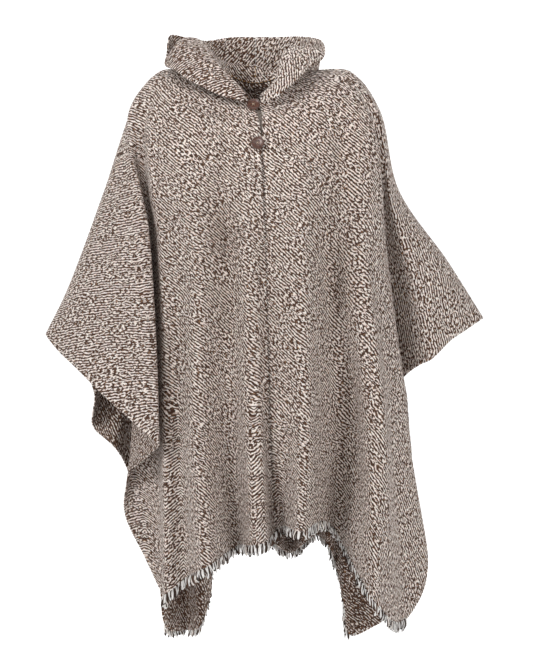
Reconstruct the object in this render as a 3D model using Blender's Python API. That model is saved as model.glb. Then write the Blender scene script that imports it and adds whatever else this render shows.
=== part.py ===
"""Hooded wool poncho of two fringed loom panels, modelled hollow in the pose of a wearer.

All lengths are in metres, the shape tables below in centimetres. +Z is up and the front
faces -Y. The origin lies between the shoulders at the neck, where the wearer holds it.
"""
import math
import random

import bmesh
import bpy
import numpy as np
from mathutils import Matrix, Vector

CM = 0.01

# Cloth wall and seams
WALL = 0.003
SEAM_GAP = 0.0003
NECK_GAP = 0.0005
HEM_GAP = 0.0005
SLIT_TOP_WIDTH = 0.014
SLIT_LENGTH = 0.088
SEAM_COLUMNS = 4

# Neck edge, where panels and hood meet
NECK_HALF_WIDTH = 0.080
NECK_FRONT_DEPTH = 0.088
NECK_BACK_DEPTH = 0.056
NECK_SIDE_HEIGHT = 0.025
NECK_FRONT_HEIGHT = -0.065
NECK_BACK_HEIGHT = -0.009
NECK_LEAN = math.radians(15.0)

# Rings of the yoke: half width, front depth, back depth, side, front and back height,
# roundness of the outline, and how far the front closing line stands off the middle
SHOULDER_RING = (0.190, 0.105, 0.077, 0.006, -0.100, -0.030, 0.85, 0.011)
YOKE_RING = (0.247, 0.126, 0.117, -0.068, -0.180, -0.160, 0.80, 0.016)
NECK_LINE_OFFSET = 0.003

# Number of wall steps between neck, shoulder, yoke, chest, low and edge stations
STATION_STEPS = (2, 2, 4, 4, 4)

# Underlap strip behind the slit
PLACKET_COLUMNS = (-1, 0, 1, 2)
PLACKET_FIRST_ROW = 1
PLACKET_LAST_ROW = 4
PLACKET_CLEARANCE = 0.0006

# Buttons
BUTTON_RADIUS = 0.0125
BUTTON_THICKNESS = 0.0042
BUTTON_RIM = 0.0022
BUTTON_DISH = 0.0012
BUTTON_HOLE_RADIUS = 0.0011
BUTTON_HOLE_SPACING = 0.0042
BUTTON_SEGMENTS = 20
# Middle x and height on the front, turn about the upright axis, stand-off from the cloth
UPPER_BUTTON = (-0.002, -0.074, 0.0, 0.0003)
LOWER_BUTTON = (0.008, -0.152, math.radians(-15.0), 0.0042)

# Fringe
LOCK_PITCH = 0.016
LOCK_LENGTH = 0.018
LOCK_TIP_SHARE = 0.42
LOCK_SWAY = 0.32
STRIP_HEIGHT = 0.003

# Hood
HOOD_STEPS = (2, 2, 3, 3, 2)
HOOD_COLUMNS = 3

# Fold lines of the wearer's right panel, from the front closing line over the wing tip to
# the middle of the back. Columns: angle round the neck, how far the fold is drawn in at
# the yoke, then x, y, z at chest, at low height and at the cloth's edge.
RIGHT_FOLDS = (
    (0, 0.3, 2.2, -14.5, -38, 3.0, -14.0, -68, 4.1, -8.5, -90.5),
    (4, 0.2, 0.9, -15.1, -38, 2.0, -15.0, -68, 3.2, -10.4, -91.0),
    (7.5, -0.2, -0.4, -15.9, -38, 0.9, -17.3, -68, 2.0, -16.6, -91.8),
    (11, -0.3, -2.0, -15.5, -38, -0.9, -17.4, -68, 0.1, -17.6, -92.3),
    (18, 0.3, -5.2, -12.2, -38, -4.6, -10.5, -68, -3.6, -8.0, -93.4),
    (30, -0.3, -10.4, -14.8, -38, -10.8, -17.4, -68, -9.0, -20.0, -96.2),
    (42, 0.1, -14.6, -11.6, -37.5, -14.6, -12.0, -68, -13.4, -12.0, -99.5),
    (54, 0.5, -18.1, -10.2, -36, -17.3, -12.0, -68, -17.0, -12.5, -102.4),
    (60, 1.1, -19.0, -8.0, -36, -18.4, -8.5, -68, -17.6, -3.0, -104.4),
    (64, 1.6, -19.5, -6.2, -36, -19.2, -5.8, -68, -18.6, 6.0, -105.4),
    (66, 1.9, -19.9, -5.2, -35.5, -20.4, -3.6, -67, -22.7, 6.0, -96.8),
    (68.5, 2.2, -20.3, -4.3, -35, -21.6, -1.9, -66, -26.4, 4.6, -88.5),
    (70.5, 2.3, -21.0, -3.2, -34.5, -22.8, -0.4, -64, -25.8, 0.8, -82.4),
    (73, 2.0, -21.6, -3.6, -33.5, -23.8, -1.8, -61, -24.8, -1.8, -79.0),
    (76.5, 1.1, -21.6, -5.4, -33, -22.6, -6.2, -59, -22.4, -8.0, -77.0),
    (79.5, 0.2, -20.9, -8.2, -31.6, -19.5, -12.0, -55.5, -19.0, -14.0, -73.8),
    (82, -0.3, -20.8, -9.5, -31, -18.9, -13.8, -54.2, -18.2, -15.8, -72.9),
    (84.5, -0.3, -21.8, -9.9, -30.2, -20.2, -14.6, -53, -19.8, -16.2, -71.4),
    (87, 0.0, -23.8, -8.8, -28.8, -23.2, -13.2, -50.4, -23.6, -14.4, -68.2),
    (89, 0.0, -25.4, -7.3, -27, -26.4, -11.0, -47, -29.8, -11.0, -63.0),
    (91, 0.0, -28.0, -4.4, -25, -32.0, -7.2, -43.5, -35.0, -7.2, -58.3),
    (93, 0.0, -29.4, -2.2, -23.7, -35.4, -4.0, -42, -38.9, -3.8, -55.0),
    (95, 0.0, -30.0, 0.2, -23, -37.0, 0.3, -42, -41.8, 0.4, -51.8),
    (99, 0.0, -29.3, 2.9, -24, -35.4, 4.4, -42.5, -38.5, 4.6, -54.5),
    (103, 0.0, -28.1, 5.8, -26, -32.4, 8.3, -45, -34.5, 8.6, -60.0),
    (106, 0.0, -27.2, 7.6, -28, -30.2, 9.6, -48, -32.8, 7.2, -64.6),
    (108.5, 0.0, -26.5, 9.0, -30, -29.2, 11.2, -50.5, -33.6, 10.4, -68.4),
    (111, 0.3, -25.8, 10.0, -31, -28.4, 13.3, -53, -33.8, 15.0, -71.5),
    (115, 0.0, -24.9, 11.0, -33, -26.6, 13.0, -56, -29.2, 11.5, -75.2),
    (119, 0.5, -24.0, 11.9, -34.5, -25.0, 15.0, -60, -27.0, 16.0, -80.0),
    (124, 0.0, -23.0, 12.6, -36, -23.6, 15.4, -65, -24.3, 13.6, -90.0),
    (129, 0.2, -21.6, 13.3, -37, -21.8, 15.2, -69, -20.2, 15.0, -103.0),
    (134, 0.0, -19.6, 13.9, -38, -19.8, 15.6, -71, -18.7, 13.6, -113.0),
    (140, 0.0, -16.2, 16.0, -38, -16.4, 19.2, -72, -14.7, 19.6, -114.5),
    (146, 0.0, -13.0, 14.6, -38, -13.2, 15.4, -72, -11.6, 14.0, -112.8),
    (152, 0.0, -10.2, 15.0, -38, -10.2, 16.8, -71, -9.5, 17.5, -106.5),
    (158, 0.0, -7.6, 16.4, -38, -7.4, 19.2, -70, -9.1, 20.6, -101.2),
    (164, 0.0, -4.9, 15.6, -38, -4.9, 17.2, -69, -6.6, 18.6, -96.3),
    (170, 0.0, -2.2, 14.6, -38, -2.3, 13.8, -68, -2.8, 12.0, -93.5),
    (175, 0.0, 0.0, 15.9, -38, 0.6, 18.2, -68, 1.0, 19.8, -94.6),
)

# The same for the wearer's left panel, from the middle of the back round to the front.
LEFT_FOLDS = (
    (180, 0.0, 1.8, 14.6, -38, 3.0, 14.6, -68, 4.2, 12.8, -95.6),
    (186, 0.0, 4.0, 16.3, -38, 5.8, 19.0, -68, 7.3, 21.0, -98.4),
    (193, 0.0, 6.8, 14.8, -38, 8.6, 14.2, -68, 10.3, 12.8, -95.2),
    (200, 0.0, 9.6, 16.2, -38, 11.4, 18.0, -69, 13.0, 19.4, -94.4),
    (207, 0.0, 12.6, 14.8, -38, 14.4, 15.2, -70, 15.2, 15.4, -96.0),
    (213, 0.0, 15.4, 15.6, -38, 17.2, 17.2, -71, 17.0, 17.4, -100.6),
    (219, 0.0, 18.2, 14.3, -38, 19.6, 15.2, -72, 18.4, 14.4, -107.8),
    (225, 0.0, 20.6, 13.8, -38, 21.8, 15.8, -72, 19.8, 16.0, -115.0),
    (230, 0.0, 22.2, 12.8, -37, 23.6, 14.4, -70, 24.2, 14.6, -113.2),
    (234, 0.0, 23.2, 12.2, -36.5, 24.8, 13.8, -68, 27.8, 13.6, -110.4),
    (238, 0.0, 24.0, 11.6, -36, 25.6, 13.2, -66, 30.4, 11.4, -102.0),
    (242, 0.0, 24.6, 11.0, -35, 26.2, 12.6, -62, 30.4, 11.0, -93.0),
    (246, 0.0, 25.2, 10.2, -34, 26.7, 12.2, -58, 29.9, 11.4, -83.5),
    (250, 0.0, 25.6, 9.4, -32.5, 27.3, 12.2, -54.5, 28.6, 13.2, -73.5),
    (254, 0.0, 25.9, 8.6, -31, 28.2, 11.6, -50.5, 28.9, 13.0, -65.5),
    (258, 0.0, 26.5, 7.2, -28, 30.6, 9.0, -45.5, 31.2, 10.8, -59.4),
    (262, 0.0, 27.2, 5.2, -25.5, 33.6, 7.2, -41, 35.4, 9.4, -56.0),
    (266, 0.0, 28.1, 2.8, -23.7, 36.8, 4.4, -38.5, 40.6, 5.2, -52.4),
    (270, 0.0, 28.6, 0.2, -23, 38.6, 0.3, -37.5, 45.6, 0.4, -48.6),
    (273, 0.0, 28.3, -2.2, -23.5, 37.0, -3.4, -38.2, 42.6, -2.8, -50.4),
    (276, 0.0, 27.6, -4.0, -24.5, 34.6, -5.6, -39.8, 38.6, -5.4, -52.9),
    (279, 0.0, 26.9, -5.2, -26, 31.8, -6.8, -41.8, 34.6, -7.6, -56.6),
    (281, 0.0, 26.6, -4.8, -27.5, 30.2, -5.2, -43.6, 32.4, -5.6, -57.8),
    (283, 0.6, 26.2, -3.8, -29, 28.2, -2.8, -45.6, 30.0, -2.6, -59.8),
    (286, 1.1, 24.6, -2.2, -32, 25.2, 0.4, -51, 25.2, 3.4, -66.0),
    (290, 0.7, 24.7, -4.6, -34, 26.0, -2.8, -54, 27.0, -1.6, -65.5),
    (294, 0.0, 25.6, -8.2, -35.5, 27.9, -8.2, -55, 29.2, -7.6, -62.6),
    (297, -0.1, 25.5, -9.0, -36, 28.5, -9.0, -59, 30.4, -7.2, -72.5),
    (300, 0.0, 25.2, -9.6, -36.6, 28.6, -9.4, -62, 31.4, -6.0, -82.4),
    (303, 0.0, 24.8, -10.2, -37, 28.4, -9.8, -65, 33.4, -5.0, -91.0),
    (306, 0.0, 24.2, -10.8, -37.3, 27.9, -10.6, -67, 34.0, -5.2, -97.0),
    (309, 0.0, 23.4, -11.6, -37.5, 27.0, -11.8, -68, 33.0, -6.2, -102.2),
    (313, 0.0, 22.4, -12.4, -37.7, 25.8, -13.4, -68, 29.2, -9.0, -107.5),
    (318, -0.2, 20.8, -13.8, -37.8, 24.2, -17.0, -68, 26.0, -15.4, -106.9),
    (324, 0.0, 18.4, -13.6, -38, 21.8, -16.6, -68, 22.6, -19.6, -102.6),
    (330, 0.3, 15.7, -10.9, -38, 19.2, -9.8, -68, 19.3, -11.6, -97.1),
    (336, 0.3, 13.6, -11.4, -38, 16.4, -8.2, -68, 16.2, -3.2, -91.6),
    (343, 0.0, 11.8, -14.0, -38, 13.4, -12.6, -68, 13.2, -10.4, -88.4),
    (349, -0.4, 8.5, -17.0, -38, 9.6, -19.8, -68, 8.6, -19.8, -89.4),
    (355, 0.1, 5.0, -15.8, -38, 5.8, -16.0, -68, 5.3, -9.4, -89.4),
)

# Rows of the front and back hem corners within the tables above
RIGHT_FRONT_CORNER = 9
RIGHT_BACK_CORNER = 32
LEFT_BACK_CORNER = 7
LEFT_FRONT_CORNER = 32

# Hood, from the wearer's right front end round the back to the left front end. Columns:
# angle round the neck, then x, y, z at the stand, the fall, the pouch bottom, the outer
# wall and the face edge.
HOOD_FOLDS = (
    (11, -1.8, -8.9, -5.2, -1.9, -9.4, -4.9, -2.0, -10.0, -5.2, -2.1, -10.4, -5.8, -2.2, -10.6, -6.8),
    (26, -4.1, -8.1, -2.5, -4.8, -8.8, -1.7, -5.5, -9.8, -2.3, -6.0, -10.5, -3.9, -6.3, -10.8, -5.7),
    (46, -6.8, -6.1, 0.9, -8.0, -6.7, 1.9, -9.2, -7.9, 1.1, -9.8, -8.9, -1.3, -10.0, -9.5, -3.9),
    (62, -8.3, -4.1, 3.3, -10.0, -4.6, 4.4, -11.8, -5.7, 3.4, -12.8, -6.9, 0.7, -13.1, -7.8, -2.0),
    (76, -9.0, -2.1, 4.8, -11.2, -2.2, 6.2, -13.6, -3.3, 5.4, -15.2, -4.7, 2.8, -15.9, -5.6, 0.2),
    (90, -9.2, 0.0, 5.4, -11.6, 0.2, 7.2, -14.6, -0.7, 7.0, -16.7, -2.1, 4.2, -17.7, -3.1, 1.4),
    (104, -8.9, 1.9, 5.2, -11.2, 3.2, 5.8, -13.8, 3.4, 5.0, -16.2, 2.0, 4.0, -17.6, 0.4, 4.6),
    (118, -8.0, 3.7, 4.4, -9.9, 5.8, 2.4, -12.4, 7.3, 1.0, -15.6, 6.2, 3.0, -17.1, 3.8, 8.6),
    (134, -6.4, 5.2, 3.6, -7.8, 7.7, 1.6, -10.1, 10.6, -4.6, -13.2, 11.8, -2.6, -14.4, 6.4, 8.7),
    (150, -4.5, 6.2, 3.2, -5.5, 9.1, 1.0, -7.2, 12.4, -11.0, -8.8, 15.8, -9.4, -10.2, 9.4, 8.5),
    (166, -2.2, 6.8, 3.1, -2.7, 9.8, 0.8, -3.7, 13.2, -14.8, -4.5, 17.0, -13.2, -5.2, 12.2, 9.7),
    (180, 0.0, 7.0, 2.9, 0.0, 10.1, 0.6, 0.0, 13.4, -16.0, 0.0, 17.4, -14.4, 0.0, 12.9, 9.9),
    (196, 2.0, 6.8, 2.3, 2.5, 9.7, 0.2, 3.5, 13.2, -14.6, 4.3, 17.0, -13.0, 4.9, 12.3, 9.8),
    (212, 3.8, 6.0, 1.8, 4.8, 8.8, 0.0, 6.5, 12.2, -10.4, 8.0, 15.4, -8.8, 9.2, 10.0, 9.5),
    (230, 5.6, 4.6, 2.3, 6.9, 7.2, 0.8, 9.2, 10.0, -4.4, 11.6, 11.0, -2.4, 12.9, 6.0, 8.2),
    (246, 6.6, 3.1, 3.3, 8.3, 5.2, 1.8, 10.7, 5.9, 1.8, 12.8, 4.7, 4.2, 13.8, 2.8, 6.6),
    (262, 6.9, 1.2, 4.2, 8.7, 2.2, 4.6, 11.0, 1.9, 5.0, 12.9, 0.9, 5.2, 14.0, 0.2, 4.6),
    (282, 6.1, -1.2, 4.3, 7.9, -0.8, 5.3, 10.3, -1.6, 5.3, 12.1, -2.6, 4.2, 13.1, -3.4, 2.4),
    (300, 5.2, -3.8, 2.6, 6.1, -4.4, 3.8, 8.1, -5.6, 3.4, 9.6, -6.6, 1.8, 10.4, -7.2, 0.0),
    (316, 4.6, -6.3, -0.4, 5.1, -7.2, 0.3, 6.2, -8.5, -0.3, 7.2, -9.4, -1.5, 7.6, -9.7, -3.0),
    (336, 3.3, -8.3, -3.6, 3.5, -8.9, -3.1, 3.8, -9.7, -3.5, 4.0, -10.3, -4.5, 4.1, -10.6, -5.9),
    (353, 1.2, -9.1, -5.5, 1.3, -9.5, -5.3, 1.5, -10.0, -5.4, 1.6, -10.4, -5.9, 1.7, -10.6, -6.6),
)
HOOD_BACK_ROW = 11

COLOURS = {
    "cloth": (0.30, 0.235, 0.175, 1.0),
    "hood": (0.28, 0.22, 0.165, 1.0),
    "underlap": (0.22, 0.20, 0.18, 1.0),
    "fringe": (0.62, 0.57, 0.50, 1.0),
    "button": (0.10, 0.035, 0.022, 1.0),
}


def clear_scene():
    """Remove every object of the scene."""
    for obj in list(bpy.data.objects):
        bpy.data.objects.remove(obj, do_unlink=True)


def material(name, colour, roughness):
    """Return a new material with a plain Principled shader."""
    mat = bpy.data.materials.new(name)
    mat.use_nodes = True
    shader = mat.node_tree.nodes["Principled BSDF"]
    shader.inputs["Base Color"].default_value = colour
    shader.inputs["Roughness"].default_value = roughness
    return mat


def new_object(collection, name, verts, faces, mat):
    """Make a closed mesh object with outward faces."""
    mesh = bpy.data.meshes.new(name)
    mesh.from_pydata([tuple(map(float, v)) for v in verts], [], faces)
    bm = bmesh.new()
    bm.from_mesh(mesh)
    bmesh.ops.recalc_face_normals(bm, faces=bm.faces)
    bm.to_mesh(mesh)
    bm.free()
    mesh.materials.append(mat)
    obj = bpy.data.objects.new(name, mesh)
    collection.objects.link(obj)
    return obj


def unit(vectors):
    """Scale vectors along the last axis to length one."""
    size = np.linalg.norm(vectors, axis=-1, keepdims=True)
    return vectors / np.maximum(size, 1e-9)


def signed_power(value, power):
    """Raise the size of a value to a power and keep its sign."""
    return np.sign(value) * np.abs(value) ** power


def ring(angles, sizes, line_offset=None):
    """Points of a rounded ring round the neck; angle 0 is the front, 90 the wearer's right."""
    width, front, back, side_z, front_z, back_z, power, offset = sizes
    rad = np.radians(angles)
    cos, sin = np.cos(rad), np.sin(rad)
    depth = np.where(cos > 0, front, back)
    end_z = np.where(cos > 0, front_z, back_z)
    share = np.abs(cos) ** (1.2 if power < 1.0 else 2.0)
    x = -width * signed_power(sin, power) + offset * np.clip(cos, 0, 1) ** 4
    y = -depth * signed_power(cos, power)
    z = side_z + (end_z - side_z) * share
    return np.stack([x, y, z], axis=-1)


def neck_ring(angles):
    """Points of the neck edge."""
    sizes = (NECK_HALF_WIDTH, NECK_FRONT_DEPTH, NECK_BACK_DEPTH, NECK_SIDE_HEIGHT,
             NECK_FRONT_HEIGHT, NECK_BACK_HEIGHT, 1.0, NECK_LINE_OFFSET)
    return ring(angles, sizes)


def neck_frame(angles):
    """Outward normal and upward seam direction of the cloth along the neck edge."""
    ahead = unit(neck_ring(angles + 0.5) - neck_ring(angles - 0.5))
    out = unit(np.stack([ahead[..., 1], -ahead[..., 0], 0 * ahead[..., 0]], axis=-1))
    up = np.zeros_like(out)
    up[..., 2] = 1.0
    rise = math.cos(NECK_LEAN) * up - math.sin(NECK_LEAN) * out
    rise = unit(rise - np.sum(rise * ahead, axis=-1, keepdims=True) * ahead)
    return np.cross(rise, ahead), rise


def spline(points, steps, closed=False, start=None):
    """Smooth curve through points along axis 0, with its own step count per interval."""
    points = np.asarray(points, float)
    ahead = np.roll(points, -1, axis=0) if closed else points[1:]
    behind = points if closed else points[:-1]
    chord = ahead - behind
    knot = np.sqrt(np.maximum(np.linalg.norm(chord, axis=-1, keepdims=True), 1e-6))
    slope = chord / knot
    if closed:
        before, knot_before = np.roll(slope, 1, axis=0), np.roll(knot, 1, axis=0)
        tangent = (knot_before * slope + knot * before) / (knot_before + knot)
    else:
        inner = (knot[:-1] * slope[1:] + knot[1:] * slope[:-1]) / (knot[:-1] + knot[1:])
        tangent = np.concatenate([slope[:1], inner, slope[-1:]])
    if start is not None:
        tangent[0] = start * knot[0]
    pieces = []
    for k, count in enumerate(steps):
        t = (np.arange(count) / count).reshape((-1,) + (1,) * (points.ndim - 1))
        last = (k + 1) % len(points)
        pieces.append((2 * t**3 - 3 * t**2 + 1) * points[k]
                      + (t**3 - 2 * t**2 + t) * tangent[k] * knot[k]
                      + (3 * t**2 - 2 * t**3) * points[last]
                      + (t**3 - t**2) * tangent[last] * knot[k])
    if not closed:
        pieces.append(points[-1:])
    return np.concatenate(pieces)


def spread_angles(angles, steps):
    """Angles of the wall columns, evenly placed between the table's rows."""
    closed = len(steps) == len(angles)
    ends = np.append(angles, 360.0 + angles[0]) if closed else np.asarray(angles, float)
    parts = [ends[k] + (ends[k + 1] - ends[k]) * np.arange(n) / n for k, n in enumerate(steps)]
    if not closed:
        parts.append(ends[-1:])
    return np.concatenate(parts)


def grid_normals(grid, closed, flip):
    """Unit normals of a grid of points (column, station)."""
    if closed:
        across = np.roll(grid, -1, axis=0) - np.roll(grid, 1, axis=0)
    else:
        across = np.gradient(grid, axis=0)
    along = np.gradient(grid, axis=1)
    normal = np.cross(along, across) if flip else np.cross(across, along)
    return unit(normal)


def panel_surface():
    """Middle surface of both panels as one closed ring of columns, with normals."""
    table = np.array(RIGHT_FOLDS + LEFT_FOLDS, float)
    steps = column_steps(table)
    angles = spread_angles(table[:, 0], steps)
    folds = spline(table[:, 2:].reshape(len(table), 3, 3) * CM, steps, closed=True)
    pinch = spline(table[:, 1:2] * CM, steps, closed=True)
    outward = unit(ring(angles, YOKE_RING) * (1, 1, 0))
    yoke = ring(angles, YOKE_RING) - outward * pinch
    stations = np.concatenate([neck_ring(angles)[:, None], ring(angles, SHOULDER_RING)[:, None],
                               yoke[:, None], folds], axis=1)
    seam_normal, rise = neck_frame(angles)
    grid = spline(stations.swapaxes(0, 1), STATION_STEPS, start=-rise).swapaxes(0, 1)
    normals = grid_normals(grid, True, False)
    normals[:, 0] = seam_normal
    grid[:, 0] -= rise * NECK_GAP / 2
    starts = np.concatenate([[0], np.cumsum(steps)])
    return grid, normals, starts


def column_steps(table):
    """Two wall columns between fold lines that lie wide apart, else one."""
    edge = table[:, 8:11]
    reach = np.linalg.norm(np.roll(edge, -1, axis=0) - edge, axis=1)
    return tuple(int(v) for v in np.where(reach > 5.1, 2, 1))


def hood_surface():
    """Middle surface of the hood from front end to front end, with normals."""
    table = np.array(HOOD_FOLDS, float)
    steps = (HOOD_COLUMNS,) * (len(table) - 1)
    angles = spread_angles(table[:, 0], steps)
    folds = spline(table[:, 1:].reshape(len(table), 5, 3) * CM, steps)
    seam_normal, rise = neck_frame(angles)
    base = neck_ring(angles) + rise * NECK_GAP / 2
    stations = np.concatenate([base[:, None], folds], axis=1)
    grid = spline(stations.swapaxes(0, 1), HOOD_STEPS, start=rise).swapaxes(0, 1)
    normals = grid_normals(grid, False, True)
    normals[:, 0] = seam_normal
    return grid, normals, HOOD_COLUMNS * HOOD_BACK_ROW


def part_from(grid, column, direction, widths):
    """Draw the columns beside a seam away from it, the edge column by the whole width."""
    side = unit(grid[column + 3 * direction] - grid[column])
    for step in range(SEAM_COLUMNS):
        share = 1 - step / SEAM_COLUMNS
        grid[column + step * direction] += side * share * np.asarray(widths)[:, None]


def slit_half_widths(line):
    """Half width of the opening along the front closing line, wide at the neck."""
    run = np.concatenate([[0], np.cumsum(np.linalg.norm(np.diff(line, axis=0), axis=1))])
    opening = SLIT_TOP_WIDTH * np.clip(1 - run / SLIT_LENGTH, 0, 1)
    return np.maximum(opening, SEAM_GAP) / 2


def sheet_triangles(middle, index):
    """Two triangles for each cell of a grid, split along the cell's shorter diagonal."""
    a, b, c, d = index[:-1, :-1], index[1:, :-1], index[1:, 1:], index[:-1, 1:]
    point = middle.reshape(-1, 3)
    down = np.linalg.norm(point[a] - point[c], axis=-1)
    up = np.linalg.norm(point[b] - point[d], axis=-1)
    first = np.where((down <= up)[..., None], np.stack([a, b, c], -1), np.stack([a, b, d], -1))
    second = np.where((down <= up)[..., None], np.stack([a, c, d], -1), np.stack([b, c, d], -1))
    return np.concatenate([first.reshape(-1, 3), second.reshape(-1, 3)])


def rim_triangles(side, far):
    """Two triangles for each step of a rim, all split the same way."""
    here, there = side[:-1], side[1:]
    return np.concatenate([np.stack([here, there, there + far], -1),
                           np.stack([here, there + far, here + far], -1)])


def wall(collection, name, grid, normals, mat, shift=0.0):
    """Closed cloth wall round a grid of middle points."""
    columns, rows = grid.shape[:2]
    middle = grid + normals * shift
    outer = (middle + normals * WALL / 2).reshape(-1, 3)
    inner = (middle - normals * WALL / 2).reshape(-1, 3)
    far = columns * rows
    index = np.arange(far).reshape(columns, rows)
    cells = sheet_triangles(middle, index)
    rims = [rim_triangles(side, far) for side in (index[:, 0], index[:, -1], index[0], index[-1])]
    faces = np.concatenate([cells, cells[:, ::-1] + far] + rims)
    return new_object(collection, name, np.concatenate([outer, inner]), faces.tolist(), mat)


def fringe(collection, name, grid, normals, seam_end, mat, seed):
    """Strip along a hem with tapered locks grown from every second step of its lower face."""
    rng = random.Random(seed)
    line, normal = grid[:, -1], normals[:, -1]
    tangent = unit(np.gradient(line, axis=0))
    down = unit(np.cross(normal, tangent))
    fall = grid[:, -1] - grid[:, -2]
    down *= np.sign(np.sum(down * fall, axis=-1, keepdims=True))
    down[seam_end] = unit(fall[seam_end] - np.dot(fall[seam_end], normal[seam_end]) * normal[seam_end])
    reach = np.linalg.norm(np.diff(line, axis=0), axis=1)
    where = np.concatenate([k + np.arange(n) / n for k, n in enumerate(hem_steps(reach))]
                           + [[len(reach)]])
    count = len(where)
    line, normal, down = [
        np.stack([np.interp(where, np.arange(len(v)), v[:, k]) for k in range(3)], axis=-1)
        for v in (line, normal, down)]
    top = line + down * (HEM_GAP + twist_slack(line, normal, down))[:, None]
    low = top + down * STRIP_HEIGHT
    half = normal * WALL / 2
    verts = list(np.stack([top + half, top - half, low - half, low + half], axis=1).reshape(-1, 3))
    faces = [(0, 1, 2, 3), tuple(4 * (count - 1) + k for k in (3, 2, 1, 0))]
    for s in range(count - 1):
        for k in range(4):
            a, b = 4 * s + k, 4 * s + (k + 1) % 4
            if k != 2 or s % 2:
                faces.extend([(a, a + 4, b + 4), (a, b + 4, b)])
                continue
            base = [a, a + 4, b + 4, b]
            faces.extend(lock(verts, base, down[s], normal[s], rng))
    return new_object(collection, name, verts, faces, mat)


def twist_slack(line, normal, down):
    """Extra room at each strip step where the hem turns or its end face twists."""
    lean = np.abs(np.sum(np.diff(normal, axis=0) * (down[1:] + down[:-1]) / 2, axis=1)) * WALL
    twist = np.maximum(np.append(lean, 0), np.append(0, lean))
    step = unit(np.diff(line, axis=0))
    square = np.minimum(np.linalg.norm(np.cross(down[:-1], step), axis=1),
                        np.linalg.norm(np.cross(down[1:], step), axis=1))
    turn = 1 / np.clip(np.minimum(np.append(square, 1), np.append(1, square)), 0.4, 1) - 1
    return twist + HEM_GAP * turn


def hem_steps(reach):
    """Even number of strip steps for each straight length of the hem."""
    return [2 * max(1, round(length / LOCK_PITCH)) for length in reach]


def lock(verts, base, down, normal, rng):
    """Add one lock on four base vertices and return its faces."""
    corners = np.array([verts[i] for i in base])
    middle = corners.mean(axis=0)
    along = unit(corners[1] - corners[0])
    sway = along * rng.uniform(-1, 1) * LOCK_SWAY * 0.5 + normal * rng.uniform(-1, 1) * LOCK_SWAY
    tip = middle + unit(down + sway) * LOCK_LENGTH * rng.uniform(0.8, 1.05)
    first = len(verts)
    verts.extend(tip + (corners - middle) * LOCK_TIP_SHARE)
    ends = list(range(first, first + 4))
    sides = [(base[k], base[(k + 1) % 4], ends[(k + 1) % 4], ends[k]) for k in range(4)]
    return sides + [tuple(ends)]


def button(collection, name, grid, normals, place, mat):
    """Round dished button with four holes, turned to lie on the cloth."""
    x, z, turn, lift = place
    flat = grid[:, 1:].reshape(-1, 3)
    front = flat[:, 1] < -0.05
    near = np.where(front, (flat[:, 0] - x) ** 2 + (flat[:, 2] - z) ** 2, 1.0).argsort()[:4]
    normal = Vector(normals[:, 1:].reshape(-1, 3)[near].mean(axis=0)).normalized()
    depth = flat[near, 1].mean()
    normal = Matrix.Rotation(turn, 3, "Z") @ normal
    profile = ((0.0, 0.0), (BUTTON_RADIUS - 0.0008, 0.0), (BUTTON_RADIUS, 0.0012),
               (BUTTON_RADIUS, BUTTON_THICKNESS - 0.0008),
               (BUTTON_RADIUS - 0.0008, BUTTON_THICKNESS),
               (BUTTON_RADIUS - BUTTON_RIM, BUTTON_THICKNESS - 0.0002),
               (BUTTON_RADIUS - BUTTON_RIM - 0.0012, BUTTON_THICKNESS - BUTTON_DISH),
               (0.0, BUTTON_THICKNESS - BUTTON_DISH))
    bm = bmesh.new()
    chain = [bm.verts.new((r, 0.0, h)) for r, h in profile]
    edges = [bm.edges.new(pair) for pair in zip(chain[:-1], chain[1:])]
    bmesh.ops.spin(bm, geom=chain + edges, cent=(0, 0, 0), axis=(0, 0, 1),
                   angle=math.tau, steps=BUTTON_SEGMENTS, use_duplicate=False)
    bmesh.ops.remove_doubles(bm, verts=bm.verts, dist=0.00005)
    bmesh.ops.recalc_face_normals(bm, faces=bm.faces)
    mesh = bpy.data.meshes.new(name)
    bm.to_mesh(mesh)
    bm.free()
    mesh.materials.append(mat)
    obj = bpy.data.objects.new(name, mesh)
    collection.objects.link(obj)
    drill(collection, obj)
    seat = Vector((x, depth, z)) + normal * (WALL / 2 + lift)
    obj.data.transform(Matrix.Translation(seat) @ normal.to_track_quat("Z", "Y").to_matrix().to_4x4())
    return obj


def drill(collection, obj):
    """Cut the four sewing holes of a button that lies flat at the origin."""
    bm = bmesh.new()
    for sx in (-0.5, 0.5):
        for sy in (-0.5, 0.5):
            at = (sx * BUTTON_HOLE_SPACING, sy * BUTTON_HOLE_SPACING, BUTTON_THICKNESS / 2)
            bmesh.ops.create_cone(bm, cap_ends=True, segments=6, radius1=BUTTON_HOLE_RADIUS,
                                  radius2=BUTTON_HOLE_RADIUS, depth=3 * BUTTON_THICKNESS,
                                  matrix=Matrix.Translation(at))
    mesh = bpy.data.meshes.new("hole_pins")
    bm.to_mesh(mesh)
    bm.free()
    pins = bpy.data.objects.new("hole_pins", mesh)
    collection.objects.link(pins)
    cut = obj.modifiers.new("holes", "BOOLEAN")
    cut.object = pins
    cut.operation = "DIFFERENCE"
    cut.solver = "EXACT"
    bpy.context.view_layer.update()
    evaluated = obj.evaluated_get(bpy.context.evaluated_depsgraph_get())
    drilled = bpy.data.meshes.new_from_object(evaluated)
    bm = bmesh.new()
    bm.from_mesh(drilled)
    bmesh.ops.triangulate(bm, faces=bm.faces)
    bm.to_mesh(drilled)
    bm.free()
    obj.modifiers.clear()
    obj.data = drilled
    bpy.data.objects.remove(pins, do_unlink=True)


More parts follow.
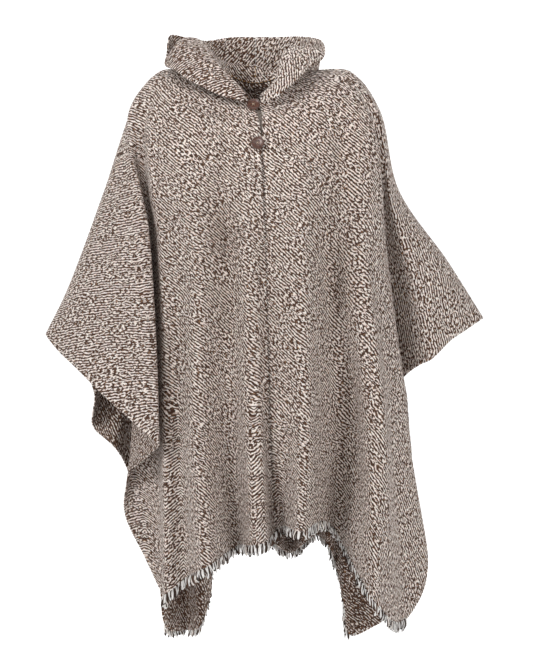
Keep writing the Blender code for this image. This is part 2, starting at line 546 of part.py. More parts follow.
def main():
    """Build every part of the poncho."""
    clear_scene()
    collection = bpy.data.collections.new("hooded_poncho")
    bpy.context.scene.collection.children.link(collection)

    grid, normals, starts = panel_surface()
    back = starts[len(RIGHT_FOLDS)]
    half_slit = slit_half_widths(grid[0])
    half_seam = np.full(grid.shape[1], SEAM_GAP / 2)

    right, right_n = grid[:back + 1].copy(), normals[:back + 1]
    part_from(right, 0, 1, half_slit)
    part_from(right, back, -1, half_seam)
    wall(collection, "panel_right", right, right_n,
         material("panel_right_wool", COLOURS["cloth"], 0.95))

    order = np.append(np.arange(back, len(grid)), 0)
    left, left_n = grid[order].copy(), normals[order]
    part_from(left, 0, 1, half_seam)
    part_from(left, len(left) - 1, -1, half_slit)
    wall(collection, "panel_left", left, left_n,
         material("panel_left_wool", COLOURS["cloth"], 0.95))

    column = np.array(PLACKET_COLUMNS)[:, None] % len(grid)
    rows = np.arange(PLACKET_FIRST_ROW, PLACKET_LAST_ROW + 1)
    wall(collection, "placket", grid[column, rows], normals[column, rows],
         material("placket_wool", COLOURS["underlap"], 0.95), -(WALL + PLACKET_CLEARANCE))

    hood, hood_n, middle = hood_surface()
    hood_right, hood_left = hood[:middle + 1].copy(), hood[middle:].copy()
    half_hood = np.full(hood.shape[1], SEAM_GAP / 2)
    part_from(hood_right, middle, -1, half_hood)
    part_from(hood_left, 0, 1, half_hood)
    wall(collection, "hood_right", hood_right, hood_n[:middle + 1],
         material("hood_right_wool", COLOURS["hood"], 0.95))
    wall(collection, "hood_left", hood_left, hood_n[middle:],
         material("hood_left_wool", COLOURS["hood"], 0.95))

    front_right = starts[RIGHT_FRONT_CORNER] + 1
    back_right = starts[RIGHT_BACK_CORNER]
    back_left = starts[len(RIGHT_FOLDS) + LEFT_BACK_CORNER] - back + 1
    front_left = starts[len(RIGHT_FOLDS) + LEFT_FRONT_CORNER] - back
    hems = (("fringe_front_right", right[:front_right], right_n[:front_right], 0, 11),
            ("fringe_back_right", right[back_right:], right_n[back_right:], -1, 12),
            ("fringe_back_left", left[:back_left], left_n[:back_left], 0, 13),
            ("fringe_front_left", left[front_left:], left_n[front_left:], -1, 14))
    for name, part, part_n, seam_end, seed in hems:
        fringe(collection, name, part, part_n, seam_end,
               material(name + "_wool", COLOURS["fringe"], 0.95), seed)

    for name, place in (("button_upper", UPPER_BUTTON), ("button_lower", LOWER_BUTTON)):
        button(collection, name, grid, normals, place,
               material(name + "_wood", COLOURS["button"], 0.45))


main()
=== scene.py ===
# %% [markdown]
# # A hooded wool poncho, dressed for its photograph
#
# The real garment is made of two hand-woven panels, each one loom wide, sewn together at the
# middle of the back and of the front. A short slit is left open at the neck, a hood is sewn
# round it, and two buttons close it. The ends of the warp are left as a fringe.
# This lesson puts cloth, yarn, thread and buttons on a plain solid model of that garment.
# Every length is in metres and shares the solid model's frame: +Z is up, the front faces -Y.

# %% Load the solid model
import math

import bpy
import numpy as np
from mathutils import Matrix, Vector


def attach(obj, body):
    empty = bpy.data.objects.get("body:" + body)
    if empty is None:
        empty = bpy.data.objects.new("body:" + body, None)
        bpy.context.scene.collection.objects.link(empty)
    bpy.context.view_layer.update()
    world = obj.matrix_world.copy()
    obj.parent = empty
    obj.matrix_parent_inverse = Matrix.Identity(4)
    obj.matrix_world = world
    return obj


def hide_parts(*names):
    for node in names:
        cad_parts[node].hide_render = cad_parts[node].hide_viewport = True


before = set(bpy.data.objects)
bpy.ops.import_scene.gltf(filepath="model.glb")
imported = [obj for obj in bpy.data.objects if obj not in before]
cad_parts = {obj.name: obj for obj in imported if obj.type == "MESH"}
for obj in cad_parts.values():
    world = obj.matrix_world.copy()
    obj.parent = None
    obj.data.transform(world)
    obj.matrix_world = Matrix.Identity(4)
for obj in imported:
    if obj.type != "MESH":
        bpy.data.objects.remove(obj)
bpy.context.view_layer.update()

# %% [markdown]
# ## Camera
#
# The picture was taken from straight in front, at half the garment's height and from a few
# paces away, so that upright lines stay upright. The picture is 533 x 666 pixels and one
# pixel covers 2 mm at the neck, which fixes the width of view at the chosen distance.

# %% Camera
CAMERA_DISTANCE = 3.2
CAMERA_X = 0.023
CAMERA_Z = -0.516
SIGHT_HALF_HEIGHT = 0.666
SENSOR = 36.0

camera_data = bpy.data.cameras.new("camera")
camera_data.sensor_width = SENSOR
camera_data.lens = SENSOR * CAMERA_DISTANCE / (2 * SIGHT_HALF_HEIGHT)
camera = bpy.data.objects.new("camera", camera_data)
camera.location = (CAMERA_X, -CAMERA_DISTANCE, CAMERA_Z)
camera.rotation_euler = (math.pi / 2, 0, 0)
bpy.context.scene.collection.objects.link(camera)
bpy.context.scene.camera = camera
print("camera lens", round(camera_data.lens, 1), "mm")

# %% [markdown]
# ## Shape of the cloth
#
# The surface is worked out on a grid. One direction runs round the neck, the other runs
# from the neck edge over the shoulder and down to the hem or selvedge. Each row below is one
# ray of that grid: a fold's crest or valley. Angle 0 is the middle of the front and 90 is the
# wearer's right arm. The lengths in the tables are in centimetres.
# A simulation could drape a flat cloth instead, but it would not find the folds of the
# picture, so the folds are listed and a smooth curve is passed through them.

# %% Sizes and fold tables
CM = 0.01
CLOTH = 0.0028
SEAM_GAP = 0.0003
NECK_GAP = 0.0005
SLIT_TOP_WIDTH = 0.014
SLIT_LENGTH = 0.088
NECK_SIZES = (0.080, 0.088, 0.056, 0.025, -0.065, -0.009, 1.0, 0.003)
NECK_LEAN = math.radians(15.0)
SHOULDER_RING = (0.190, 0.105, 0.077, 0.006, -0.100, -0.030, 0.85, 0.011)
YOKE_RING = (0.247, 0.126, 0.117, -0.068, -0.180, -0.160, 0.80, 0.016)

# Columns: angle round the neck, how far the fold is drawn in at the yoke, then x, y, z at
# chest, at low height and at the cloth's edge.
RIGHT_FOLDS = (
    (0, 0.3, 2.2, -14.5, -38, 3.0, -14.0, -68, 4.1, -8.5, -90.5),
    (4, 0.2, 0.9, -15.1, -38, 2.0, -15.0, -68, 3.2, -10.4, -91.0),
    (7.5, -0.2, -0.4, -15.9, -38, 0.9, -17.3, -68, 2.0, -16.6, -91.8),
    (11, -0.3, -2.0, -15.5, -38, -0.9, -17.4, -68, 0.1, -17.6, -92.3),
    (18, 0.3, -5.2, -12.2, -38, -4.6, -10.5, -68, -3.6, -8.0, -93.4),
    (30, -0.3, -10.4, -14.8, -38, -10.8, -17.4, -68, -9.0, -20.0, -96.2),
    (42, 0.1, -14.6, -11.6, -37.5, -14.6, -12.0, -68, -13.4, -12.0, -99.5),
    (54, 0.5, -18.1, -10.2, -36, -17.3, -12.0, -68, -17.0, -12.5, -102.4),
    (60, 1.1, -19.0, -8.0, -36, -18.4, -8.5, -68, -17.6, -3.0, -104.4),
    (64, 1.6, -19.5, -6.2, -36, -19.2, -5.8, -68, -18.6, 6.0, -105.4),
    (66, 1.9, -19.9, -5.2, -35.5, -20.4, -3.6, -67, -22.7, 6.0, -96.8),
    (68.5, 2.2, -20.3, -4.3, -35, -21.6, -1.9, -66, -26.4, 4.6, -88.5),
    (70.5, 2.3, -21.0, -3.2, -34.5, -22.8, -0.4, -64, -25.8, 0.8, -82.4),
    (73, 2.0, -21.6, -3.6, -33.5, -23.8, -1.8, -61, -24.8, -1.8, -79.0),
    (76.5, 1.1, -21.6, -5.4, -33, -22.6, -6.2, -59, -22.4, -8.0, -77.0),
    (79.5, 0.2, -20.9, -8.2, -31.6, -19.5, -12.0, -55.5, -19.0, -14.0, -73.8),
    (82, -0.3, -20.8, -9.5, -31, -18.9, -13.8, -54.2, -18.2, -15.8, -72.9),
    (84.5, -0.3, -21.8, -9.9, -30.2, -20.2, -14.6, -53, -19.8, -16.2, -71.4),
    (87, 0.0, -23.8, -8.8, -28.8, -23.2, -13.2, -50.4, -23.6, -14.4, -68.2),
    (89, 0.0, -25.4, -7.3, -27, -26.4, -11.0, -47, -29.8, -11.0, -63.0),
    (91, 0.0, -28.0, -4.4, -25, -32.0, -7.2, -43.5, -35.0, -7.2, -58.3),
    (93, 0.0, -29.4, -2.2, -23.7, -35.4, -4.0, -42, -38.9, -3.8, -55.0),
    (95, 0.0, -30.0, 0.2, -23, -37.0, 0.3, -42, -41.8, 0.4, -51.8),
    (99, 0.0, -29.3, 2.9, -24, -35.4, 4.4, -42.5, -38.5, 4.6, -54.5),
    (103, 0.0, -28.1, 5.8, -26, -32.4, 8.3, -45, -34.5, 8.6, -60.0),
    (106, 0.0, -27.2, 7.6, -28, -30.2, 9.6, -48, -32.8, 7.2, -64.6),
    (108.5, 0.0, -26.5, 9.0, -30, -29.2, 11.2, -50.5, -33.6, 10.4, -68.4),
    (111, 0.3, -25.8, 10.0, -31, -28.4, 13.3, -53, -33.8, 15.0, -71.5),
    (115, 0.0, -24.9, 11.0, -33, -26.6, 13.0, -56, -29.2, 11.5, -75.2),
    (119, 0.5, -24.0, 11.9, -34.5, -25.0, 15.0, -60, -27.0, 16.0, -80.0),
    (124, 0.0, -23.0, 12.6, -36, -23.6, 15.4, -65, -24.3, 13.6, -90.0),
    (129, 0.2, -21.6, 13.3, -37, -21.8, 15.2, -69, -20.2, 15.0, -103.0),
    (134, 0.0, -19.6, 13.9, -38, -19.8, 15.6, -71, -18.7, 13.6, -113.0),
    (140, 0.0, -16.2, 16.0, -38, -16.4, 19.2, -72, -14.7, 19.6, -114.5),
    (146, 0.0, -13.0, 14.6, -38, -13.2, 15.4, -72, -11.6, 14.0, -112.8),
    (152, 0.0, -10.2, 15.0, -38, -10.2, 16.8, -71, -9.5, 17.5, -106.5),
    (158, 0.0, -7.6, 16.4, -38, -7.4, 19.2, -70, -9.1, 20.6, -101.2),
    (164, 0.0, -4.9, 15.6, -38, -4.9, 17.2, -69, -6.6, 18.6, -96.3),
    (170, 0.0, -2.2, 14.6, -38, -2.3, 13.8, -68, -2.8, 12.0, -93.5),
    (175, 0.0, 0.0, 15.9, -38, 0.6, 18.2, -68, 1.0, 19.8, -94.6),
)

# The same for the wearer's left panel, from the middle of the back round to the front.
LEFT_FOLDS = (
    (180, 0.0, 1.8, 14.6, -38, 3.0, 14.6, -68, 4.2, 12.8, -95.6),
    (186, 0.0, 4.0, 16.3, -38, 5.8, 19.0, -68, 7.3, 21.0, -98.4),
    (193, 0.0, 6.8, 14.8, -38, 8.6, 14.2, -68, 10.3, 12.8, -95.2),
    (200, 0.0, 9.6, 16.2, -38, 11.4, 18.0, -69, 13.0, 19.4, -94.4),
    (207, 0.0, 12.6, 14.8, -38, 14.4, 15.2, -70, 15.2, 15.4, -96.0),
    (213, 0.0, 15.4, 15.6, -38, 17.2, 17.2, -71, 17.0, 17.4, -100.6),
    (219, 0.0, 18.2, 14.3, -38, 19.6, 15.2, -72, 18.4, 14.4, -107.8),
    (225, 0.0, 20.6, 13.8, -38, 21.8, 15.8, -72, 19.8, 16.0, -115.0),
    (230, 0.0, 22.2, 12.8, -37, 23.6, 14.4, -70, 24.2, 14.6, -113.2),
    (234, 0.0, 23.2, 12.2, -36.5, 24.8, 13.8, -68, 27.8, 13.6, -110.4),
    (238, 0.0, 24.0, 11.6, -36, 25.6, 13.2, -66, 30.4, 11.4, -102.0),
    (242, 0.0, 24.6, 11.0, -35, 26.2, 12.6, -62, 30.4, 11.0, -93.0),
    (246, 0.0, 25.2, 10.2, -34, 26.7, 12.2, -58, 29.9, 11.4, -83.5),
    (250, 0.0, 25.6, 9.4, -32.5, 27.3, 12.2, -54.5, 28.6, 13.2, -73.5),
    (254, 0.0, 25.9, 8.6, -31, 28.2, 11.6, -50.5, 28.9, 13.0, -65.5),
    (258, 0.0, 26.5, 7.2, -28, 30.6, 9.0, -45.5, 31.2, 10.8, -59.4),
    (262, 0.0, 27.2, 5.2, -25.5, 33.6, 7.2, -41, 35.4, 9.4, -56.0),
    (266, 0.0, 28.1, 2.8, -23.7, 36.8, 4.4, -38.5, 40.6, 5.2, -52.4),
    (270, 0.0, 28.6, 0.2, -23, 38.6, 0.3, -37.5, 45.6, 0.4, -48.6),
    (273, 0.0, 28.3, -2.2, -23.5, 37.0, -3.4, -38.2, 42.6, -2.8, -50.4),
    (276, 0.0, 27.6, -4.0, -24.5, 34.6, -5.6, -39.8, 38.6, -5.4, -52.9),
    (279, 0.0, 26.9, -5.2, -26, 31.8, -6.8, -41.8, 34.6, -7.6, -56.6),
    (281, 0.0, 26.6, -4.8, -27.5, 30.2, -5.2, -43.6, 32.4, -5.6, -57.8),
    (283, 0.6, 26.2, -3.8, -29, 28.2, -2.8, -45.6, 30.0, -2.6, -59.8),
    (286, 1.1, 24.6, -2.2, -32, 25.2, 0.4, -51, 25.2, 3.4, -66.0),
    (290, 0.7, 24.7, -4.6, -34, 26.0, -2.8, -54, 27.0, -1.6, -65.5),
    (294, 0.0, 25.6, -8.2, -35.5, 27.9, -8.2, -55, 29.2, -7.6, -62.6),
    (297, -0.1, 25.5, -9.0, -36, 28.5, -9.0, -59, 30.4, -7.2, -72.5),
    (300, 0.0, 25.2, -9.6, -36.6, 28.6, -9.4, -62, 31.4, -6.0, -82.4),
    (303, 0.0, 24.8, -10.2, -37, 28.4, -9.8, -65, 33.4, -5.0, -91.0),
    (306, 0.0, 24.2, -10.8, -37.3, 27.9, -10.6, -67, 34.0, -5.2, -97.0),
    (309, 0.0, 23.4, -11.6, -37.5, 27.0, -11.8, -68, 33.0, -6.2, -102.2),
    (313, 0.0, 22.4, -12.4, -37.7, 25.8, -13.4, -68, 29.2, -9.0, -107.5),
    (318, -0.2, 20.8, -13.8, -37.8, 24.2, -17.0, -68, 26.0, -15.4, -106.9),
    (324, 0.0, 18.4, -13.6, -38, 21.8, -16.6, -68, 22.6, -19.6, -102.6),
    (330, 0.3, 15.7, -10.9, -38, 19.2, -9.8, -68, 19.3, -11.6, -97.1),
    (336, 0.3, 13.6, -11.4, -38, 16.4, -8.2, -68, 16.2, -3.2, -91.6),
    (343, 0.0, 11.8, -14.0, -38, 13.4, -12.6, -68, 13.2, -10.4, -88.4),
    (349, -0.4, 8.5, -17.0, -38, 9.6, -19.8, -68, 8.6, -19.8, -89.4),
    (355, 0.1, 5.0, -15.8, -38, 5.8, -16.0, -68, 5.3, -9.4, -89.4),
)

# Rows of the front and back hem corners within the tables above
RIGHT_FRONT_CORNER = 9
RIGHT_BACK_CORNER = 32
LEFT_BACK_CORNER = 7
LEFT_FRONT_CORNER = 32

# Hood. Columns: angle round the neck, then x, y, z at the stand, the fall, the pouch
# bottom, the outer wall and the face edge.
HOOD_FOLDS = (
    (11, -1.8, -8.9, -5.2, -1.9, -9.4, -4.9, -2.0, -10.0, -5.2, -2.1, -10.4, -5.8,
     -2.2, -10.6, -6.8),
    (26, -4.1, -8.1, -2.5, -4.8, -8.8, -1.7, -5.5, -9.8, -2.3, -6.0, -10.5, -3.9,
     -6.3, -10.8, -5.7),
    (46, -6.8, -6.1, 0.9, -8.0, -6.7, 1.9, -9.2, -7.9, 1.1, -9.8, -8.9, -1.3, -10.0, -9.5, -3.9),
    (62, -8.3, -4.1, 3.3, -10.0, -4.6, 4.4, -11.8, -5.7, 3.4, -12.8, -6.9, 0.7, -13.1, -7.8, -2.0),
    (76, -9.0, -2.1, 4.8, -11.2, -2.2, 6.2, -13.6, -3.3, 5.4, -15.2, -4.7, 2.8, -15.9, -5.6, 0.2),
    (90, -9.2, 0.0, 5.4, -11.6, 0.2, 7.2, -14.6, -0.7, 7.0, -16.7, -2.1, 4.2, -17.7, -3.1, 1.4),
    (104, -8.9, 1.9, 5.2, -11.2, 3.2, 5.8, -13.8, 3.4, 5.0, -16.2, 2.0, 4.0, -17.6, 0.4, 4.6),
    (118, -8.0, 3.7, 4.4, -9.9, 5.8, 2.4, -12.4, 7.3, 1.0, -15.6, 6.2, 3.0, -17.1, 3.8, 8.6),
    (134, -6.4, 5.2, 3.6, -7.8, 7.7, 1.6, -10.1, 10.6, -4.6, -13.2, 11.8, -2.6, -14.4, 6.4, 8.7),
    (150, -4.5, 6.2, 3.2, -5.5, 9.1, 1.0, -7.2, 12.4, -11.0, -8.8, 15.8, -9.4, -10.2, 9.4, 8.5),
    (166, -2.2, 6.8, 3.1, -2.7, 9.8, 0.8, -3.7, 13.2, -14.8, -4.5, 17.0, -13.2, -5.2, 12.2, 9.7),
    (180, 0.0, 7.0, 2.9, 0.0, 10.1, 0.6, 0.0, 13.4, -16.0, 0.0, 17.4, -14.4, 0.0, 12.9, 9.9),
    (196, 2.0, 6.8, 2.3, 2.5, 9.7, 0.2, 3.5, 13.2, -14.6, 4.3, 17.0, -13.0, 4.9, 12.3, 9.8),
    (212, 3.8, 6.0, 1.8, 4.8, 8.8, 0.0, 6.5, 12.2, -10.4, 8.0, 15.4, -8.8, 9.2, 10.0, 9.5),
    (230, 5.6, 4.6, 2.3, 6.9, 7.2, 0.8, 9.2, 10.0, -4.4, 11.6, 11.0, -2.4, 12.9, 6.0, 8.2),
    (246, 6.6, 3.1, 3.3, 8.3, 5.2, 1.8, 10.7, 5.9, 1.8, 12.8, 4.7, 4.2, 13.8, 2.8, 6.6),
    (262, 6.9, 1.2, 4.2, 8.7, 2.2, 4.6, 11.0, 1.9, 5.0, 12.9, 0.9, 5.2, 14.0, 0.2, 4.6),
    (282, 6.1, -1.2, 4.3, 7.9, -0.8, 5.3, 10.3, -1.6, 5.3, 12.1, -2.6, 4.2, 13.1, -3.4, 2.4),
    (300, 5.2, -3.8, 2.6, 6.1, -4.4, 3.8, 8.1, -5.6, 3.4, 9.6, -6.6, 1.8, 10.4, -7.2, 0.0),
    (316, 4.6, -6.3, -0.4, 5.1, -7.2, 0.3, 6.2, -8.5, -0.3, 7.2, -9.4, -1.5, 7.6, -9.7, -3.0),
    (336, 3.3, -8.3, -3.6, 3.5, -8.9, -3.1, 3.8, -9.7, -3.5, 4.0, -10.3, -4.5, 4.1, -10.6, -5.9),
    (353, 1.2, -9.1, -5.5, 1.3, -9.5, -5.3, 1.5, -10.0, -5.4, 1.6, -10.4, -5.9, 1.7, -10.6, -6.6),
)
HOOD_BACK_ROW = 11
print(len(RIGHT_FOLDS) + len(LEFT_FOLDS), "fold lines on the panels,",
      len(HOOD_FOLDS), "on the hood")

# %% [markdown]
# ## Curves and grids
#
# A cloth surface needs smooth curves through uneven points. Each interval is a cubic with
# end slopes that allow for the unequal distances of its neighbours, so no curve overshoots.
# All points of a grid are worked out at once as one array, with no loop over vertices.

# %% Curve and grid helpers
def unit(vectors):
    """Vectors divided by their own length."""
    size = np.linalg.norm(vectors, axis=-1, keepdims=True)
    return vectors / np.maximum(size, 1e-9)


def smooth(value):
    """Soft step from 0 to 1: three times the square less twice the cube."""
    value = np.clip(value, 0, 1)
    return value * value * (3 - 2 * value)


def ring(angles, sizes):
    """Rounded ring: x is the width times the sine, y the depth times the cosine, each raised
    to a power that squares the corners, and z falls from the side to the front and back."""
    width, front, back, side_z, front_z, back_z, power, offset = sizes
    cos, sin = np.cos(np.radians(angles)), np.sin(np.radians(angles))
    depth = np.where(cos > 0, front, back)
    end_z = np.where(cos > 0, front_z, back_z)
    share = np.abs(cos) ** (1.2 if power < 1.0 else 2.0)
    x = -width * np.sign(sin) * np.abs(sin) ** power + offset * np.clip(cos, 0, 1) ** 4
    y = -depth * np.sign(cos) * np.abs(cos) ** power
    return np.stack([x, y, side_z + (end_z - side_z) * share], axis=-1)


def neck_frame(angles):
    """Outward normal and upward direction of the neck seam: up, leaned in by a set angle."""
    ahead = unit(ring(angles + 0.5, NECK_SIZES) - ring(angles - 0.5, NECK_SIZES))
    out = unit(np.stack([ahead[..., 1], -ahead[..., 0], 0 * ahead[..., 0]], axis=-1))
    up = np.zeros_like(out)
    up[..., 2] = 1.0
    rise = math.cos(NECK_LEAN) * up - math.sin(NECK_LEAN) * out
    rise = unit(rise - np.sum(rise * ahead, axis=-1, keepdims=True) * ahead)
    return np.cross(rise, ahead), rise


def spline(points, steps, closed=False, start=None):
    """Cubic through points along the first axis: each interval blends its two ends and its
    two end slopes, and a slope is the mean of the chords weighted by the far chord's root."""
    points = np.asarray(points, float)
    ahead = np.roll(points, -1, axis=0) if closed else points[1:]
    chord = ahead - (points if closed else points[:-1])
    knot = np.sqrt(np.maximum(np.linalg.norm(chord, axis=-1, keepdims=True), 1e-6))
    slope = chord / knot
    if closed:
        before, knot_before = np.roll(slope, 1, axis=0), np.roll(knot, 1, axis=0)
        tangent = (knot_before * slope + knot * before) / (knot_before + knot)
    else:
        inner = (knot[:-1] * slope[1:] + knot[1:] * slope[:-1]) / (knot[:-1] + knot[1:])
        tangent = np.concatenate([slope[:1], inner, slope[-1:]])
    if start is not None:
        tangent[0] = start * knot[0]
    pieces = []
    for k, count in enumerate(steps):
        t = (np.arange(count) / count).reshape((-1,) + (1,) * (points.ndim - 1))
        last = (k + 1) % len(points)
        pieces.append((2 * t**3 - 3 * t**2 + 1) * points[k]
                      + (t**3 - 2 * t**2 + t) * tangent[k] * knot[k]
                      + (3 * t**2 - 2 * t**3) * points[last]
                      + (t**3 - t**2) * tangent[last] * knot[k])
    if not closed:
        pieces.append(points[-1:])
    return np.concatenate(pieces)


def grid_normals(grid, closed, flip):
    """Unit cross product of the two directions of a grid."""
    if closed:
        across = np.roll(grid, -1, axis=0) - np.roll(grid, 1, axis=0)
    else:
        across = np.gradient(grid, axis=0)
    along = np.gradient(grid, axis=1)
    return unit(np.cross(along, across) if flip else np.cross(across, along))


def arc(line):
    """Distance run along the first axis of a line of points."""
    return np.concatenate([[0.0], np.cumsum(np.linalg.norm(np.diff(line, axis=0), axis=-1))])


# %% [markdown]
# ## The two panels' surface
#
# Both panels are first one closed ring of rays, so that their seams meet exactly. The rays
# then part by the seam's gap, and at the neck by the slit's width, and the rays beside a seam
# move less and less the further off they are.

# %% Panel surface
RAY_STEPS = 6
STATION_STEPS = (16, 14, 30, 42, 42)
SEAM_SPREAD = 4 * RAY_STEPS


def panel_surface():
    """Rays round the neck times stations from neck to edge; stations are the neck, shoulder
    and yoke rings, then the tables' chest, low and edge points."""
    table = np.array(RIGHT_FOLDS + LEFT_FOLDS, float)
    count = len(table)
    steps = (RAY_STEPS,) * count
    ends = np.append(table[:, 0], 360.0)
    angles = np.interp(np.arange(count * RAY_STEPS) / RAY_STEPS, np.arange(count + 1), ends)
    folds = spline(table[:, 2:].reshape(count, 3, 3) * CM, steps, closed=True)
    pinch = spline(table[:, 1:2] * CM, steps, closed=True)
    outward = unit(ring(angles, YOKE_RING) * (1, 1, 0))
    yoke = ring(angles, YOKE_RING) - outward * pinch
    stations = np.concatenate([ring(angles, NECK_SIZES)[:, None],
                               ring(angles, SHOULDER_RING)[:, None], yoke[:, None], folds], axis=1)
    seam_normal, rise = neck_frame(angles)
    grid = spline(stations.swapaxes(0, 1), STATION_STEPS, start=-rise).swapaxes(0, 1)
    grid[:, 0] -= rise * NECK_GAP / 2
    return grid, seam_normal


def part_from(grid, column, direction, widths):
    """Move the rays beside a seam away from it, less and less with their distance."""
    side = unit(grid[column + SEAM_SPREAD // 2 * direction] - grid[column])
    share = smooth(1 - np.arange(SEAM_SPREAD) / SEAM_SPREAD)
    columns = column + direction * np.arange(SEAM_SPREAD)
    grid[columns] += share[:, None, None] * (side * np.asarray(widths)[:, None])[None]


def slit_half_widths(line):
    """Half the opening along the front closing line: widest at the neck, and it closes."""
    opening = SLIT_TOP_WIDTH * np.clip(1 - arc(line) / SLIT_LENGTH, 0, 1)
    return np.maximum(opening, SEAM_GAP) / 2


whole, whole_seam_normal = panel_surface()
back_ray = RAY_STEPS * len(RIGHT_FOLDS)
half_slit = slit_half_widths(whole[0])
half_seam = np.full(whole.shape[1], SEAM_GAP / 2)

right_grid = whole[:back_ray + 1].copy()
part_from(right_grid, 0, 1, half_slit)
part_from(right_grid, back_ray, -1, half_seam)

left_order = np.append(np.arange(back_ray, len(whole)), 0)
left_grid = whole[left_order].copy()
part_from(left_grid, 0, 1, half_seam)
part_from(left_grid, len(left_grid) - 1, -1, half_slit)
print("rays and stations of the panels:", right_grid.shape[:2], left_grid.shape[:2])

# %% [markdown]
# ## Flat cloth coordinates
#
# The weave follows the threads, and those run straight in the flat panel, whatever its folds
# do. So each point gets its place on the flat cloth. A first guess lays the rays out like a
# fan. Then neighbouring points pull or push until they are about as far apart as on the
# draped cloth, as if the cloth were laid down and smoothed out by hand. The front seam is
# held, and the back seam is free. It is done on every twelfth ray first, because a coarse net
# settles quickly, and at last on all of them. The warp hangs upright on the front of the
# body, so there each point is also drawn to its own height on the seam.
# The springs know lengths and not which way up a cell lies. Part of the net stays turned
# over, mostly near the shoulders and also lower down, and the weave is mirrored or squeezed
# there. The share is printed.

# %% Flat coordinates
LINKS = ((1, 0), (0, 1), (1, 1), (1, -1))
BODY_HALF_WIDTH = 0.23
FRONT_SHARE = 0.42


def link_slices(step, shape):
    """The two matching blocks of a grid whose points are one link apart."""
    di, dj = step
    first = (slice(0, shape[0] - di), slice(max(0, -dj), shape[1] - max(0, dj)))
    second = (slice(di, shape[0]), slice(max(0, dj), shape[1] - max(0, -dj)))
    return first, second


def upright_goal(grid, place, front):
    """Flat height of each point of the front body, read off the front seam at the same z and
    carried on below the seam's end, and how strongly it holds: fully within the body's
    width, and not at all on shoulders, wings and back."""
    z, flat = grid[front, :, 2], place[front, :, 1]
    below = np.minimum(grid[..., 2] - z[-1], 0)
    share = np.abs(np.arange(len(grid)) - (len(grid) - 1) * (front != 0)) / (len(grid) - 1)
    hold = (smooth((BODY_HALF_WIDTH - np.abs(grid[..., 0])) / 0.05)
            * smooth((FRONT_SHARE - share) / 0.05)[:, None] * smooth((-0.16 - grid[..., 2]) / 0.12))
    return np.interp(-grid[..., 2], -z, flat) + below, 0.5 * hold


def laid_flat(grid, place, rounds, front=None):
    """Flat places relaxed in rounds: each link moves its two ends along itself by a quarter
    of the difference between its flat length and its length on the draped cloth."""
    place = place.copy()
    fixed = [] if front is None else [front]
    goal_height, hold = (0.0, 0.0) if front is None else upright_goal(grid, place, front)
    blocks = [link_slices(step, grid.shape[:2]) for step in LINKS]
    goals = [np.linalg.norm(grid[b] - grid[a], axis=-1) for a, b in blocks]
    held = place[fixed].copy()
    for _ in range(rounds):
        move = np.zeros_like(place)
        for (a, b), goal in zip(blocks, goals):
            gap = place[b] - place[a]
            size = np.maximum(np.linalg.norm(gap, axis=-1), 1e-6)
            pull = 0.25 * gap * ((size - goal) / size)[..., None]
            move[a] += pull
            move[b] -= pull
        place += 0.6 * move
        place[..., 1] += hold * (goal_height - place[..., 1])
        place[fixed] = held
    return place


def fan_guess(grid, front):
    """First guess: a ray starts at the neck as seen from above, and runs out by its own
    length, turned from the front seam by the sum of the gaps between rays over their reach."""
    length = np.linalg.norm(np.diff(grid, axis=1), axis=-1)
    reach = np.concatenate([np.zeros((len(grid), 1)), np.cumsum(length, axis=1)], axis=1)
    start = np.stack([np.abs(grid[:, 0, 0]), grid[:, 0, 1]], axis=-1)
    start[[0, -1], 0] = 0.0
    gaps = np.linalg.norm(np.diff(grid, axis=0), axis=-1)
    near = slice(reach.shape[1] // 3, reach.shape[1] * 2 // 3)
    angle = np.median(gaps[:, near] / (reach[1:, near] + 0.08), axis=1)
    turn = np.concatenate([[0.0], np.cumsum(angle)])
    if front != 0:
        turn = turn[-1] - turn
    ahead = np.stack([np.sin(turn), -np.cos(turn)], axis=-1)
    return start[:, None] + reach[..., None] * ahead[:, None]


def flat_places(grid, place, levels, front=None):
    """Relax a coarse net of rays and stations, spread its result over all of them, and go
    on with a finer net, down to every ray and station."""
    rays, stations = np.arange(len(grid)), np.arange(grid.shape[1])
    for across, along, rounds in levels:
        some_rays = np.unique(np.append(rays[::across], rays[-1]))
        some_stations = np.unique(np.append(stations[::along], stations[-1]))
        net = np.ix_(some_rays, some_stations)
        coarse = laid_flat(grid[net], place[net], rounds, front)
        by_ray = np.stack([[np.interp(rays, some_rays, coarse[:, j, k]) for k in (0, 1)]
                           for j in range(len(some_stations))], axis=0)
        place = np.stack([[np.interp(stations, some_stations, by_ray[:, k, i]) for k in (0, 1)]
                          for i in range(len(rays))], axis=0).swapaxes(1, 2)
    return place


def stretch_of(grid, place):
    """Middle tenth-to-ninetieth percentile of flat over draped length, along the rays."""
    ratio = (np.linalg.norm(np.diff(place, axis=0), axis=-1)
             / np.maximum(np.linalg.norm(np.diff(grid, axis=0), axis=-1), 1e-6))
    return np.percentile(ratio, (10, 50, 90)).round(2)


def turned_over(place):
    """Share of the flat cells that lie the other way up than most: half the cross product of
    a cell's diagonals has the wrong sign. Lengths alone don't show this."""
    one, other = place[1:, 1:] - place[:-1, :-1], place[:-1, 1:] - place[1:, :-1]
    area = (one[..., 0] * other[..., 1] - one[..., 1] * other[..., 0]) / 2
    return float(np.mean(area * np.sign(area.sum()) < 0))


PANEL_LEVELS = ((12, 12, 600), (6, 6, 1200), (3, 4, 600), (1, 1, 120))
right_flat = flat_places(right_grid, fan_guess(right_grid, 0), PANEL_LEVELS, 0)
left_flat = flat_places(left_grid, fan_guess(left_grid, -1), PANEL_LEVELS, -1)
right_flat[..., 0] *= -1
for label, grid, flat in (("right", right_grid, right_flat), ("left", left_grid, left_flat)):
    print(label, "panel flat from", flat.min((0, 1)).round(2), "to", flat.max((0, 1)).round(2),
          "stretch", stretch_of(grid, flat), "turned over", round(turned_over(flat), 3))
